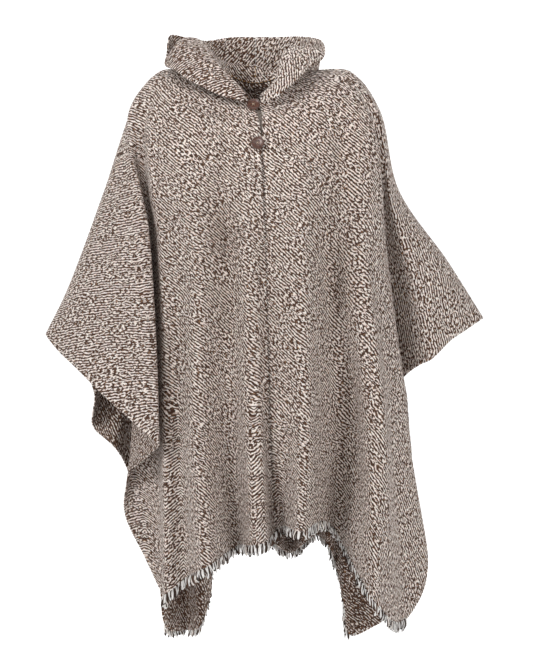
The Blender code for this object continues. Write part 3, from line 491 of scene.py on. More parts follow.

# %% [markdown]
# ## Creases
#
# Between the large folds the cloth has softer creases. Each row below is one of them, laid
# on the front or the back view: where it starts and ends, how wide it is and how far it
# stands out, or in where the number is negative. A crease is a smooth bump across its line
# that fades out towards both ends. The main valleys of the front are deepened at the chest
# and made shallower towards the hem, as in the picture.

# %% Creases
# Columns: side of the body (-1 front, 1 back), start x, z, end x, z, half width, height; cm.
CREASES = (
    (-1, -5.0, -13.0, -5.0, -37.0, 2.3, -2.4),
    (-1, -11.2, -10.0, -11.4, -52.0, 2.8, 0.7),
    (-1, 3.0, -20.0, 3.4, -60.0, 1.0, -0.3),
    (-1, 9.6, -14.0, 10.6, -54.0, 2.0, 0.8),
    (-1, 13.4, -22.0, 13.2, -66.0, 1.6, 0.5),
    (-1, 17.0, -11.0, 17.4, -46.0, 2.2, -2.4),
    (-1, -18.5, -7.0, -18.3, -34.0, 1.9, -1.4),
    (-1, 24.0, -22.0, 25.0, -60.0, 1.9, 0.4),
    (-1, 27.3, -51.0, 30.5, -58.5, 0.8, -0.4),
    (-1, -37.0, -33.0, -30.0, -52.0, 2.2, 0.4),
    (-1, 4.6, -66.0, 4.4, -100.0, 2.1, 2.1),
    (-1, 16.1, -50.0, 15.9, -99.0, 2.4, 2.6),
    (-1, -4.4, -52.0, -4.2, -99.0, 2.1, 2.4),
    (-1, -14.0, -6.4, -4.0, -9.2, 1.5, -1.6),
    (1, -16.0, -14.0, -15.0, -90.0, 3.0, -0.7),
    (1, -6.5, -10.0, -8.0, -95.0, 2.6, 0.6),
    (1, -2.0, -42.0, -2.5, -92.0, 1.9, -0.3),
    (1, 3.5, -12.0, 5.5, -88.0, 2.9, -0.8),
    (1, 12.5, -9.0, 12.0, -70.0, 2.4, 0.5),
    (1, 19.0, -18.0, 17.5, -85.0, 2.8, -0.6),
)
# Stations over which a crease fades in from the neck seam.
NECK_FADE = 7
# Depth over which a crease of the front dies away towards the back, and the other way round.
SIDE_DEPTH = 0.10


def creased(grid, rows):
    """Grid moved straight forwards, or backwards for a crease on the back, by the sum of the
    rows: height times a bell across the crease times a fade over a third of its length at
    each end, half of it past the end. A point keeps its x and z, so a crease in a narrow fold
    doesn't push one wall of the fold through the other, as a move along the normals would."""
    moved = np.zeros(grid.shape[:2])
    for side, x0, z0, x1, z1, half, height in rows:
        start, end = np.array((x0, z0)) * CM, np.array((x1, z1)) * CM
        step = end - start
        offset = grid[..., (0, 2)] - start
        along = offset @ step / (step @ step)
        across = np.abs(offset[..., 0] * step[1] - offset[..., 1] * step[0]) / np.linalg.norm(step)
        bell = np.exp(-(across / (half * CM)) ** 2)
        fade = smooth(along * 3 + 0.5) * smooth((1 - along) * 3 + 0.5)
        facing = smooth(0.5 + side * grid[..., 1] / SIDE_DEPTH)
        moved += side * height * CM * bell * fade * facing
    moved *= smooth(np.arange(grid.shape[1]) / NECK_FADE)
    shifted = grid.copy()
    shifted[..., 1] += moved
    return shifted


# %% [markdown]
# ## From a grid to a thin cloth
#
# The cloth is about 3 mm thick, so it is a closed shell: the grid moved half its thickness
# out and in, joined round the rim by a strip, rounded where the edge is free and flat where
# it is sewn. Its flat places go into the UV map.

# %% Cloth shell
SMOOTH_SHADING = True


def make_mesh(name, verts, faces, uv=None, material=None):
    """Mesh object from whole arrays, placed at the origin."""
    mesh = bpy.data.meshes.new(name)
    mesh.vertices.add(len(verts))
    mesh.vertices.foreach_set("co", np.asarray(verts, np.float32).ravel())
    faces = np.asarray(faces, np.int32)
    sides = faces.shape[1]
    mesh.loops.add(faces.size)
    mesh.loops.foreach_set("vertex_index", faces.ravel())
    mesh.polygons.add(len(faces))
    mesh.polygons.foreach_set("loop_start", np.arange(len(faces), dtype=np.int32) * sides)
    mesh.polygons.foreach_set("use_smooth", np.full(len(faces), SMOOTH_SHADING))
    if uv is not None:
        layer = mesh.uv_layers.new(name="cloth")
        layer.data.foreach_set("uv", np.asarray(uv, np.float32)[faces.ravel()].ravel())
    mesh.update(calc_edges=True)
    mesh.validate()
    if material is not None:
        mesh.materials.append(material)
    obj = bpy.data.objects.new(name, mesh)
    bpy.context.scene.collection.objects.link(obj)
    return obj


def cloth_shell(name, grid, normals, flat, material, inner_material=None, sewn=None, thickness=CLOTH):
    """Closed shell: outer layer at plus half the thickness, inner layer at minus half, and a
    strip round the rim whose middle stands out by a third of the thickness. An edge that is
    sewn to another piece stays flat, so that the two don't run into each other. The inner
    layer takes the inner material where one is given: on the panels a weave with more brown,
    which paints the shade of the garment's inside."""
    columns, rows = grid.shape[:2]
    outer = (grid + normals * thickness / 2).reshape(-1, 3)
    inner = (grid - normals * thickness / 2).reshape(-1, 3)
    far = columns * rows
    index = np.arange(far).reshape(columns, rows)
    cells = np.stack([index[:-1, :-1], index[1:, :-1], index[1:, 1:], index[:-1, 1:]], -1)
    cells = cells.reshape(-1, 4)
    rim = np.concatenate([index[:-1, 0], index[-1, :-1], index[:0:-1, -1], index[0, :0:-1]])
    point = grid.reshape(-1, 3)
    inward = np.concatenate([index[:-1, 1], index[-2, :-1], index[:0:-1, -2], index[1, :0:-1]])
    free = np.ones(far) if sewn is None else 1.0 - sewn.reshape(-1)
    bulge = point[rim] + unit(point[rim] - point[inward]) * (thickness / 3 * free[rim])[:, None]
    middle = 2 * far + np.arange(len(rim))
    after, middle_after = np.roll(rim, -1), np.roll(middle, -1)
    strips = np.concatenate([np.stack([rim, middle, middle_after, after], -1),
                             np.stack([middle, rim + far, after + far, middle_after], -1)])
    faces = np.concatenate([cells, cells[:, ::-1] + far, strips])
    uv = flat.reshape(-1, 2)
    verts = np.concatenate([outer, inner, bulge])
    shell = make_mesh(name, verts, faces, np.concatenate([uv, uv, uv[rim]]), material)
    if inner_material is not None:
        shell.data.materials.append(inner_material)
        side = np.zeros(len(faces), np.int32)
        side[len(cells):2 * len(cells)] = 1
        shell.data.polygons.foreach_set("material_index", side)
    return shell


print("creases:", len(CREASES))

# %% [markdown]
# ## Wool cloth material
#
# The cloth is a chunky twill of cream wool crossed by dark brown yarn. The brown shows as
# short strokes about 3 mm wide in rows 5 mm apart, and on the panels the rows lean at 40
# degrees to the threads. A wave turned by that angle gives the rows, and noise drawn out
# along them breaks them into strokes. More noise bends the rows and varies the tones, since
# hand spun yarn is never even. The same mix drives the bump, and a fine sheen gives the nap.
# The panels' inner side is the same weave with a little more brown: painted shade.

# %% Node helpers
def new_material(name):
    """Node material with its Principled shader, ready to be wired."""
    mat = bpy.data.materials.new(name)
    mat.use_nodes = True
    return mat, mat.node_tree.nodes, mat.node_tree.links, mat.node_tree.nodes["Principled BSDF"]


def add_node(nodes, kind, **values):
    """New node with its properties, and its inputs where the name is an input's."""
    node = nodes.new(kind)
    for key, value in values.items():
        name = key.replace("_", " ")
        if name in node.inputs:
            node.inputs[name].default_value = value
        else:
            setattr(node, key, value)
    return node


def shift_by_noise(nodes, links, source, scale, amount):
    """Source vector plus amount times (noise colour - one half), for uneven threads."""
    noise = add_node(nodes, "ShaderNodeTexNoise", Scale=scale, Detail=2.0)
    links.new(source, noise.inputs["Vector"])
    centre = add_node(nodes, "ShaderNodeVectorMath", operation="SUBTRACT")
    centre.inputs[1].default_value = (0.5, 0.5, 0.5)
    links.new(noise.outputs["Color"], centre.inputs[0])
    grow = add_node(nodes, "ShaderNodeVectorMath", operation="SCALE", Scale=amount)
    links.new(centre.outputs[0], grow.inputs[0])
    total = add_node(nodes, "ShaderNodeVectorMath", operation="ADD")
    links.new(source, total.inputs[0])
    links.new(grow.outputs[0], total.inputs[1])
    return total.outputs[0]


def ramp(nodes, stops, interpolation="LINEAR"):
    """Colour ramp through (place, colour) stops."""
    node = nodes.new("ShaderNodeValToRGB")
    band = node.color_ramp
    band.interpolation = interpolation
    while len(band.elements) < len(stops):
        band.elements.new(0.5)
    for element, (place, colour) in zip(band.elements, stops):
        element.position = place
        element.color = (*colour, 1.0)
    return node


# %% Twill wool
ROW_HEIGHT = 0.0053
DASH_LENGTH = 0.0064
BROWN_TONES = (
    (0.30, (0.042, 0.020, 0.012)),
    (0.52, (0.095, 0.046, 0.028)),
    (0.64, (0.170, 0.095, 0.060)),
    (0.70, (0.420, 0.235, 0.125)),
)
CREAM_TONES = (
    (0.30, (0.560, 0.455, 0.400)),
    (0.44, (0.920, 0.795, 0.730)),
    (0.58, (1.000, 0.940, 0.890)),
)


def twill_wool(name, lean, brown_share=0.50):
    """Brown and cream strokes: rows as a sine across the lean angle, mixed with noise drawn
    out along it, so that rows run on in some places and break into dots in others. Cream
    shows where that mix is above the brown share."""
    mat, nodes, links, shader = new_material(name)
    uv = add_node(nodes, "ShaderNodeUVMap", uv_map="cloth")
    wide = shift_by_noise(nodes, links, uv.outputs["UV"], 14.0, 0.012)
    place = shift_by_noise(nodes, links, wide, 110.0, 0.0036)
    turn = add_node(nodes, "ShaderNodeMapping", vector_type="POINT")
    turn.inputs["Rotation"].default_value = (0.0, 0.0, -math.radians(lean))
    links.new(place, turn.inputs["Vector"])
    rows = add_node(nodes, "ShaderNodeTexWave", wave_type="BANDS", bands_direction="Y",
                    Scale=0.31416 / ROW_HEIGHT, Distortion=0.9, Detail=1.0, Detail_Scale=2.0)
    links.new(turn.outputs["Vector"], rows.inputs["Vector"])
    drawn = add_node(nodes, "ShaderNodeMapping", vector_type="POINT")
    drawn.inputs["Scale"].default_value = (1.0 / DASH_LENGTH, 1.75 / ROW_HEIGHT, 1.0)
    links.new(turn.outputs["Vector"], drawn.inputs["Vector"])
    breaks = add_node(nodes, "ShaderNodeTexNoise", Scale=1.0, Detail=1.0)
    links.new(drawn.outputs["Vector"], breaks.inputs["Vector"])
    patches = add_node(nodes, "ShaderNodeTexNoise", Scale=24.0, Detail=1.0)
    links.new(uv.outputs["UV"], patches.inputs["Vector"])
    share = add_node(nodes, "ShaderNodeMapRange", clamp=True)
    for key, number in (("From Min", 0.36), ("From Max", 0.66), ("To Min", 0.52), ("To Max", 0.95)):
        share.inputs[key].default_value = number
    links.new(patches.outputs["Fac"], share.inputs["Value"])
    spread = add_node(nodes, "ShaderNodeMapRange", clamp=True)
    for key, number in (("From Min", 0.30), ("From Max", 0.70), ("To Min", 0.0), ("To Max", 1.0)):
        spread.inputs[key].default_value = number
    links.new(breaks.outputs["Fac"], spread.inputs["Value"])
    stroke = add_node(nodes, "ShaderNodeMix", data_type="FLOAT")
    links.new(share.outputs["Result"], stroke.inputs["Factor"])
    links.new(rows.outputs["Fac"], stroke.inputs["A"])
    links.new(spread.outputs["Result"], stroke.inputs["B"])
    edge = ramp(nodes, ((brown_share, (0.0, 0.0, 0.0)), (brown_share + 0.10, (1.0, 1.0, 1.0))))
    links.new(stroke.outputs["Result"], edge.inputs["Fac"])

    blotch = add_node(nodes, "ShaderNodeTexNoise", Scale=170.0, Detail=3.0)
    links.new(uv.outputs["UV"], blotch.inputs["Vector"])
    cream = ramp(nodes, CREAM_TONES)
    links.new(blotch.outputs["Fac"], cream.inputs["Fac"])
    dye = add_node(nodes, "ShaderNodeTexNoise", Scale=230.0, Detail=2.0)
    links.new(uv.outputs["UV"], dye.inputs["Vector"])
    brown = ramp(nodes, BROWN_TONES)
    links.new(dye.outputs["Fac"], brown.inputs["Fac"])

    ply = add_node(nodes, "ShaderNodeTexNoise", Scale=900.0, Detail=2.0)
    links.new(uv.outputs["UV"], ply.inputs["Vector"])
    flecks = ramp(nodes, ((0.30, (0.74, 0.71, 0.68)), (0.58, (1.0, 1.0, 1.0))))
    links.new(ply.outputs["Fac"], flecks.inputs["Fac"])
    mottled = add_node(nodes, "ShaderNodeMix", data_type="RGBA", blend_type="MULTIPLY")
    mottled.inputs["Factor"].default_value = 1.0
    yarns = add_node(nodes, "ShaderNodeMix", data_type="RGBA")
    links.new(edge.outputs["Color"], yarns.inputs["Factor"])
    links.new(brown.outputs["Color"], yarns.inputs["A"])
    links.new(cream.outputs["Color"], yarns.inputs["B"])
    links.new(yarns.outputs["Result"], mottled.inputs["A"])
    links.new(flecks.outputs["Color"], mottled.inputs["B"])
    links.new(mottled.outputs["Result"], shader.inputs["Base Color"])

    height = add_node(nodes, "ShaderNodeMath", operation="MULTIPLY_ADD")
    height.inputs[1].default_value = 1.5
    links.new(stroke.outputs["Result"], height.inputs[0])
    links.new(ply.outputs["Fac"], height.inputs[2])
    bump = add_node(nodes, "ShaderNodeBump", Strength=0.7, Distance=0.0014)
    links.new(height.outputs[0], bump.inputs["Height"])
    links.new(bump.outputs["Normal"], shader.inputs["Normal"])
    shader.inputs["Roughness"].default_value = 0.92
    shader.inputs["Specular IOR Level"].default_value = 0.25
    shader.inputs["Sheen Weight"].default_value = 0.08
    shader.inputs["Sheen Roughness"].default_value = 0.55
    shader.inputs["Sheen Tint"].default_value = (0.95, 0.90, 0.82, 1.0)
    return mat


def shaded_plain_wool(name):
    """Plain wool of the underlap: dark grey brown, painted shade of the slit, with short
    felted fibres.
    """
    mat, nodes, links, shader = new_material(name)
    uv = add_node(nodes, "ShaderNodeUVMap", uv_map="cloth")
    place = shift_by_noise(nodes, links, uv.outputs["UV"], 300.0, 0.002)
    fibres = add_node(nodes, "ShaderNodeTexNoise", Scale=420.0, Detail=3.0)
    links.new(place, fibres.inputs["Vector"])
    tones = ramp(nodes, ((0.34, (0.095, 0.070, 0.055)), (0.50, (0.200, 0.165, 0.140)),
                         (0.66, (0.360, 0.310, 0.270))))
    links.new(fibres.outputs["Fac"], tones.inputs["Fac"])
    links.new(tones.outputs["Color"], shader.inputs["Base Color"])
    bump = add_node(nodes, "ShaderNodeBump", Strength=0.5, Distance=0.0008)
    links.new(fibres.outputs["Fac"], bump.inputs["Height"])
    links.new(bump.outputs["Normal"], shader.inputs["Normal"])
    shader.inputs["Roughness"].default_value = 0.95
    shader.inputs["Sheen Weight"].default_value = 0.08
    shader.inputs["Sheen Roughness"].default_value = 0.55
    return mat


panel_wool = twill_wool("wool_twill_panels", -40.0)
# Inner side of the panels: a larger brown share darkens it, as painted shade of the garment's
# inside.
inner_side_shade_wool = twill_wool("wool_twill_inner_painted_shade", -40.0, 0.60)
underlap_painted_shade_wool = shaded_plain_wool("wool_underlap_painted_shade")
# The wearer's right half of the hood takes a larger brown share, so it is darker: painted shade of
# the hood's hollow.
hood_right_shaded_wool = twill_wool("wool_twill_hood_right_painted_shade", -73.0, 0.55)
hood_left_wool = twill_wool("wool_twill_hood_left", -5.0, 0.49)
print("cloth materials:", panel_wool.name, hood_right_shaded_wool.name, hood_left_wool.name)

# %% [markdown]
# ## The two panels
#
# Each panel is one loom width, folded over the shoulder. On both panels the flat x runs
# towards the wearer's left, as the frame's x does, so the weave leans the same way on both.
# The modelled folds hold less cloth than that width gives: laid flat they make a fan, with
# the front and the back seam about 110 degrees apart instead of in one line.


whole_shape = creased(whole, CREASES)
whole_normals = grid_normals(whole_shape, True, False)
whole_normals[:, 0] = whole_seam_normal


def panel_shape(grid, order):
    """Creased panel and its normals. At the seams they are those of the closed ring, so that
    both panels turn their edges the same way and lie side by side."""
    shape = creased(grid, CREASES)
    normals = grid_normals(shape, False, False)
    normals[0], normals[-1] = whole_normals[order[0]], whole_normals[order[-1]]
    normals[:, 0] = whole_seam_normal[order]
    return shape, normals


def panel(name, node, shape, normals, flat):
    """Shell of one panel, sewn at the neck and down both middles, which stands for its solid."""
    sewn = np.zeros(shape.shape[:2], bool)
    sewn[0], sewn[-1], sewn[:, 0] = True, True, True
    # The inner layer takes the darker weave: painted shade.
    shell = cloth_shell(name, shape, normals, flat, panel_wool, inner_side_shade_wool, sewn)
    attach(shell, "root")
    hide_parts(node)
    return shell


right_shape, right_normals = panel_shape(right_grid, np.arange(back_ray + 1))
left_shape, left_normals = panel_shape(left_grid, left_order)
right_cloth = panel("cloth_panel_right", "panel_right", right_shape, right_normals, right_flat)
left_cloth = panel("cloth_panel_left", "panel_left", left_shape, left_normals, left_flat)
print("panel faces:", len(right_cloth.data.polygons), len(left_cloth.data.polygons))

# %% [markdown]
# ## Underlap
#
# A narrow strip of plain wool lies behind the slit and shows in it between the buttons. Its
# dark grey brown is painted shade of the slit. It follows the creased ring that both panels
# come from, moved in by a cloth's thickness and a small clearance.

# %% Underlap
UNDERLAP_CLEARANCE = 0.0015
UNDERLAP_RAYS = np.arange(-RAY_STEPS // 2, 2 * RAY_STEPS + 1)
UNDERLAP_STATIONS = np.arange(STATION_STEPS[0] // 2, STATION_STEPS[0] + STATION_STEPS[1] + 1)

strip = np.ix_(UNDERLAP_RAYS % len(whole), UNDERLAP_STATIONS)
strip_grid = whole_shape[strip] - whole_normals[strip] * (CLOTH + UNDERLAP_CLEARANCE)
strip_flat = strip_grid[..., (0, 2)]
underlap = cloth_shell("underlap_strip", strip_grid, whole_normals[strip], strip_flat,
                       underlap_painted_shade_wool)
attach(underlap, "root")
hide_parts("placket")

# %% [markdown]
# ## Hood
#
# The hood is two halves sewn along the middle of the back and round the neck. It is pushed
# back off the head, so it stands in a roll round the neck and sinks into a pouch. The rows
# of its weave lean differently on the two halves, as the cloth is turned on each.

# %% Hood
HOOD_STEPS = (8, 8, 12, 14, 10)
HOOD_RAY_STEPS = 8


def hood_surface():
    """Rays round the neck times stations from the neck seam over the stand and the fall to
    the pouch, up its outer wall and to the face edge."""
    table = np.array(HOOD_FOLDS, float)
    steps = (HOOD_RAY_STEPS,) * (len(table) - 1)
    count = HOOD_RAY_STEPS * (len(table) - 1) + 1
    angles = np.interp(np.arange(count) / HOOD_RAY_STEPS, np.arange(len(table)), table[:, 0])
    folds = spline(table[:, 1:].reshape(len(table), 5, 3) * CM, steps)
    seam_normal, rise = neck_frame(angles)
    base = ring(angles, NECK_SIZES) + rise * NECK_GAP / 2
    stations = np.concatenate([base[:, None], folds], axis=1)
    grid = spline(stations.swapaxes(0, 1), HOOD_STEPS, start=rise).swapaxes(0, 1)
    normals = grid_normals(grid, False, True)
    normals[:, 0] = seam_normal
    return grid, normals


hood_grid, hood_normals = hood_surface()
hood_middle = HOOD_RAY_STEPS * HOOD_BACK_ROW


def hood_places(grid):
    """Flat places of one half: across is the run along the neck seam, up is the reach."""
    length = np.linalg.norm(np.diff(grid, axis=1), axis=-1)
    reach = np.concatenate([np.zeros((len(grid), 1)), np.cumsum(length, axis=1)], axis=1)
    run = np.broadcast_to(arc(grid[:, 0])[:, None] * 1.4, reach.shape)
    return flat_places(grid, np.stack([run, reach], axis=-1), ((8, 8, 300), (4, 4, 400)))


def hood_half(name, node, columns, side, material):
    """One half of the hood as a shell that stands for its solid. It is moved half the seam's
    gap to its own side: -1 for the wearer's right, 1 for the left."""
    grid, normals = hood_grid[columns].copy(), hood_normals[columns]
    sewn = np.zeros(hood_grid.shape[:2], bool)
    sewn[hood_middle], sewn[:, 0] = True, True
    grid[..., 0] += side * SEAM_GAP / 2
    flat = hood_places(grid)
    print(name, "stretch", stretch_of(grid, flat), "turned over", round(turned_over(flat), 3))
    shell = cloth_shell(name, grid[::-1], normals[::-1], flat[::-1], material,
                        sewn=sewn[columns][::-1])
    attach(shell, "root")
    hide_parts(node)
    return shell


hood_right_cloth = hood_half("cloth_hood_right", "hood_right", slice(0, hood_middle + 1), -1,
                             hood_right_shaded_wool)
hood_left_cloth = hood_half("cloth_hood_left", "hood_left", slice(hood_middle, None), 1,
                            hood_left_wool)
print("hood rays and stations", hood_grid.shape[:2])

# %% [markdown]
# ## Fringe
#
# At the front and back hems the ends of the warp hang out of the cloth as short curls of
# yarn, cream and dark brown by turns. Each curl is a thin tube along a narrow loop that
# starts outside the cloth a little above the hem and comes back there. One array holds all
# curls of a hem: curls times rings times sides, so hundreds of them take no loop. The curls
# lean at random, so neighbours cross here and there, and the roots run into the hem.

# %% Fringe yarn material
def plain_yarn(name):
    """Soft yarn whose tone comes from the map's first number, with fine fibre bump."""
    mat, nodes, links, shader = new_material(name)
    uv = add_node(nodes, "ShaderNodeUVMap", uv_map="cloth")
    split = add_node(nodes, "ShaderNodeSeparateXYZ")
    links.new(uv.outputs["UV"], split.inputs[0])
    tones = ramp(nodes, FRINGE_TONES, "CONSTANT")
    links.new(split.outputs["X"], tones.inputs["Fac"])
    fibres = add_node(nodes, "ShaderNodeTexNoise", Scale=700.0, Detail=2.0)
    place = add_node(nodes, "ShaderNodeTexCoord")
    links.new(place.outputs["Object"], fibres.inputs["Vector"])
    shade = ramp(nodes, ((0.35, (0.86, 0.85, 0.84)), (0.60, (1.0, 1.0, 1.0))))
    links.new(fibres.outputs["Fac"], shade.inputs["Fac"])
    mixed = add_node(nodes, "ShaderNodeMix", data_type="RGBA", blend_type="MULTIPLY")
    mixed.inputs["Factor"].default_value = 1.0
    links.new(tones.outputs["Color"], mixed.inputs["A"])
    links.new(shade.outputs["Color"], mixed.inputs["B"])
    links.new(mixed.outputs["Result"], shader.inputs["Base Color"])
    bump = add_node(nodes, "ShaderNodeBump", Strength=0.5, Distance=0.0006)
    links.new(fibres.outputs["Fac"], bump.inputs["Height"])
    links.new(bump.outputs["Normal"], shader.inputs["Normal"])
    shader.inputs["Roughness"].default_value = 0.95
    shader.inputs["Sheen Weight"].default_value = 0.04
    shader.inputs["Sheen Roughness"].default_value = 0.5
    return mat


FRINGE_TONES = (
    (0.00, (1.000, 0.975, 0.955)),
    (0.50, (0.950, 0.880, 0.830)),
    (0.60, (0.052, 0.028, 0.018)),
    (0.92, (0.110, 0.060, 0.038)),
)
fringe_yarn = plain_yarn("fringe_yarn")

# %% Fringe curls
CURL_PITCH = 0.0041
CURL_LENGTH = 0.0200
CURL_HALF_WIDTH = 0.0012
CURL_START = 0.0060
CURL_RADIUS = 0.0013
CURL_RINGS = 9
CURL_SIDES = 5


def tubes(paths, radii):
    """Verts and faces of closed tubes: each ring is centre plus radius times (cosine times
    the side vector plus sine times the up vector), and a point closes each end."""
    count, rings = paths.shape[:2]
    ahead = unit(np.gradient(paths, axis=1))
    helper = np.where(np.abs(ahead[..., 2:]) < 0.9, (0.0, 0.0, 1.0), (1.0, 0.0, 0.0))
    side = unit(np.cross(ahead, helper))
    up = np.cross(side, ahead)
    turn = np.linspace(0, 2 * math.pi, CURL_SIDES, endpoint=False)
    around = (np.cos(turn)[:, None] * side[..., None, :] + np.sin(turn)[:, None] * up[..., None, :])
    body = paths[..., None, :] + radii[..., None, None] * around
    tips = np.stack([paths[:, 0], paths[:, -1]], axis=1)
    each = rings * CURL_SIDES + 2
    verts = np.concatenate([body.reshape(count, -1, 3), tips], axis=1)
    ring_at = np.arange(rings * CURL_SIDES).reshape(rings, CURL_SIDES)
    here, there = ring_at[:-1], ring_at[1:]
    next_here, next_there = np.roll(here, -1, axis=1), np.roll(there, -1, axis=1)
    quads = np.concatenate([np.stack([here, next_here, next_there], -1).reshape(-1, 3),
                            np.stack([here, next_there, there], -1).reshape(-1, 3)])
    first, last = ring_at[0], ring_at[-1]
    caps = np.concatenate([np.stack([np.roll(first, -1), first, 0 * first + each - 2], -1),
                           np.stack([last, np.roll(last, -1), 0 * last + each - 1], -1)])
    one = np.concatenate([quads, caps])[:, ::-1]
    faces = one[None] + (each * np.arange(count))[:, None, None]
    return verts.reshape(-1, 3), faces.reshape(-1, 3), each


def hem_line(shape, normals, columns, cloth_row=-1):
    """Hem points with their outward normals and downward directions."""
    line = shape[columns, cloth_row]
    fall = unit(shape[columns, -1] - shape[columns, -4])
    return line, normals[columns, cloth_row], fall


def fringe(name, node, shape, normals, columns, seed):
    """Curls along a hem: centre = root + (length * sine(half turn) - start) down the cloth +
    width * cosine(half turn) along the hem + clearance * cosine squared away from the cloth,
    with a random lean for each curl."""
    rng = np.random.default_rng(seed)
    line, out, fall = hem_line(shape, normals, columns)
    run = arc(line)
    count = int(run[-1] / CURL_PITCH)
    where = (np.arange(count) + 0.5 + rng.uniform(-0.3, 0.3, count)) * run[-1] / count
    root, out, fall = [np.stack([np.interp(where, run, v[:, k]) for k in range(3)], axis=-1)
                       for v in (line, out, fall)]
    along = unit(np.stack([np.interp(where, run, np.gradient(line[:, k])) for k in range(3)], -1))
    lean = (fall + along * rng.normal(0, 0.32, (count, 1))
            + out * rng.normal(0.10, 0.18, (count, 1)) + np.array((0, 0, -0.25)))
    lean = unit(lean)
    size = CURL_LENGTH * rng.uniform(0.72, 1.12, count)
    t = np.linspace(0.0, 1.0, CURL_RINGS)
    wide = CURL_HALF_WIDTH * rng.uniform(0.7, 1.3, (count, 1)) * np.cos(math.pi * t)
    twist = rng.uniform(-1, 1, (count, 1)) * 0.0025 * np.sin(2 * math.pi * t)
    drop = size[:, None] * np.sin(math.pi * t) ** 0.7 - CURL_START
    clear = (CLOTH / 2 + CURL_RADIUS) * np.cos(math.pi * t) ** 2
    paths = (root[:, None] + drop[..., None] * lean[:, None] + wide[..., None] * along[:, None]
             + (twist + clear)[..., None] * out[:, None])
    radii = CURL_RADIUS * rng.uniform(0.8, 1.15, (count, 1)) * np.ones(CURL_RINGS)
    verts, faces, each = tubes(paths, radii)
    tone = np.where(np.arange(count) % 2 == 0, rng.uniform(0, 0.55, count),
                    rng.uniform(0.62, 1, count))
    uv = np.stack([np.repeat(tone, each), np.zeros(count * each)], axis=-1)
    yarn = make_mesh(name, verts, faces, uv, fringe_yarn)
    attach(yarn, "root")
    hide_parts(node)
    return yarn


fringes = (
    fringe("yarn_fringe_front_right", "fringe_front_right", right_shape, right_normals,
           slice(0, RAY_STEPS * RIGHT_FRONT_CORNER + 1), 21),
    fringe("yarn_fringe_back_right", "fringe_back_right", right_shape, right_normals,
           slice(RAY_STEPS * RIGHT_BACK_CORNER, None), 22),
    fringe("yarn_fringe_back_left", "fringe_back_left", left_shape, left_normals,
           slice(0, RAY_STEPS * LEFT_BACK_CORNER + 1), 23),
    fringe("yarn_fringe_front_left", "fringe_front_left", left_shape, left_normals,
           slice(RAY_STEPS * LEFT_FRONT_CORNER, None), 24),
)
print("fringe triangles:", [len(piece.data.polygons) for piece in fringes])

# %% [markdown]
# ## Buttons
#
# The two buttons are dark reddish brown, an inch across, with a raised rim, a dished face
# and four holes sewn with pale thread. The solid model's button already has the holes cut
# through it. Here each is turned as a finer profile round its own axis and the
# holes are cut again, because a round edge shows against the cloth.

# %% Buttons
BUTTON_THICKNESS = 0.0042
HOLE_RADIUS = 0.0011
HOLE_SPACING = 0.0042
BUTTON_FACETS = 64
HOLE_FACETS = 16


def button_material():
    """Dark polished shell or wood: brown grain from noise that is stretched along one way."""
    mat, nodes, links, shader = new_material("button_shell")
    place = add_node(nodes, "ShaderNodeTexCoord")
    squeeze = add_node(nodes, "ShaderNodeMapping", vector_type="POINT")
    squeeze.inputs["Scale"].default_value = (60.0, 60.0, 260.0)
    links.new(place.outputs["Object"], squeeze.inputs["Vector"])
    grain = add_node(nodes, "ShaderNodeTexNoise", Scale=3.0, Detail=4.0)
    links.new(squeeze.outputs["Vector"], grain.inputs["Vector"])
    tones = ramp(nodes, ((0.30, (0.030, 0.010, 0.006)), (0.52, (0.085, 0.029, 0.016)),
                         (0.70, (0.200, 0.085, 0.050))))
    links.new(grain.outputs["Fac"], tones.inputs["Fac"])
    links.new(tones.outputs["Color"], shader.inputs["Base Color"])
    bump = add_node(nodes, "ShaderNodeBump", Strength=0.25, Distance=0.0004)
    links.new(grain.outputs["Fac"], bump.inputs["Height"])
    links.new(bump.outputs["Normal"], shader.inputs["Normal"])
    shader.inputs["Roughness"].default_value = 0.30
    shader.inputs["Coat Weight"].default_value = 0.35
    shader.inputs["Coat Roughness"].default_value = 0.25
    return mat


def node_axes(node):
    """Middle and thin direction of a round flat node, from the spread of its vertices."""
    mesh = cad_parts[node].data
    co = np.empty(3 * len(mesh.vertices), np.float32)
    mesh.vertices.foreach_get("co", co)
    co = co.reshape(-1, 3).astype(float)
    low, high = co.min(0), co.max(0)
    middle = (low + high) / 2
    axes = np.linalg.svd(np.unique(co.round(6), axis=0) - middle, full_matrices=False)[2]
    out = axes[2] * (1 if axes[2][1] < 0 else -1)
    return middle, out


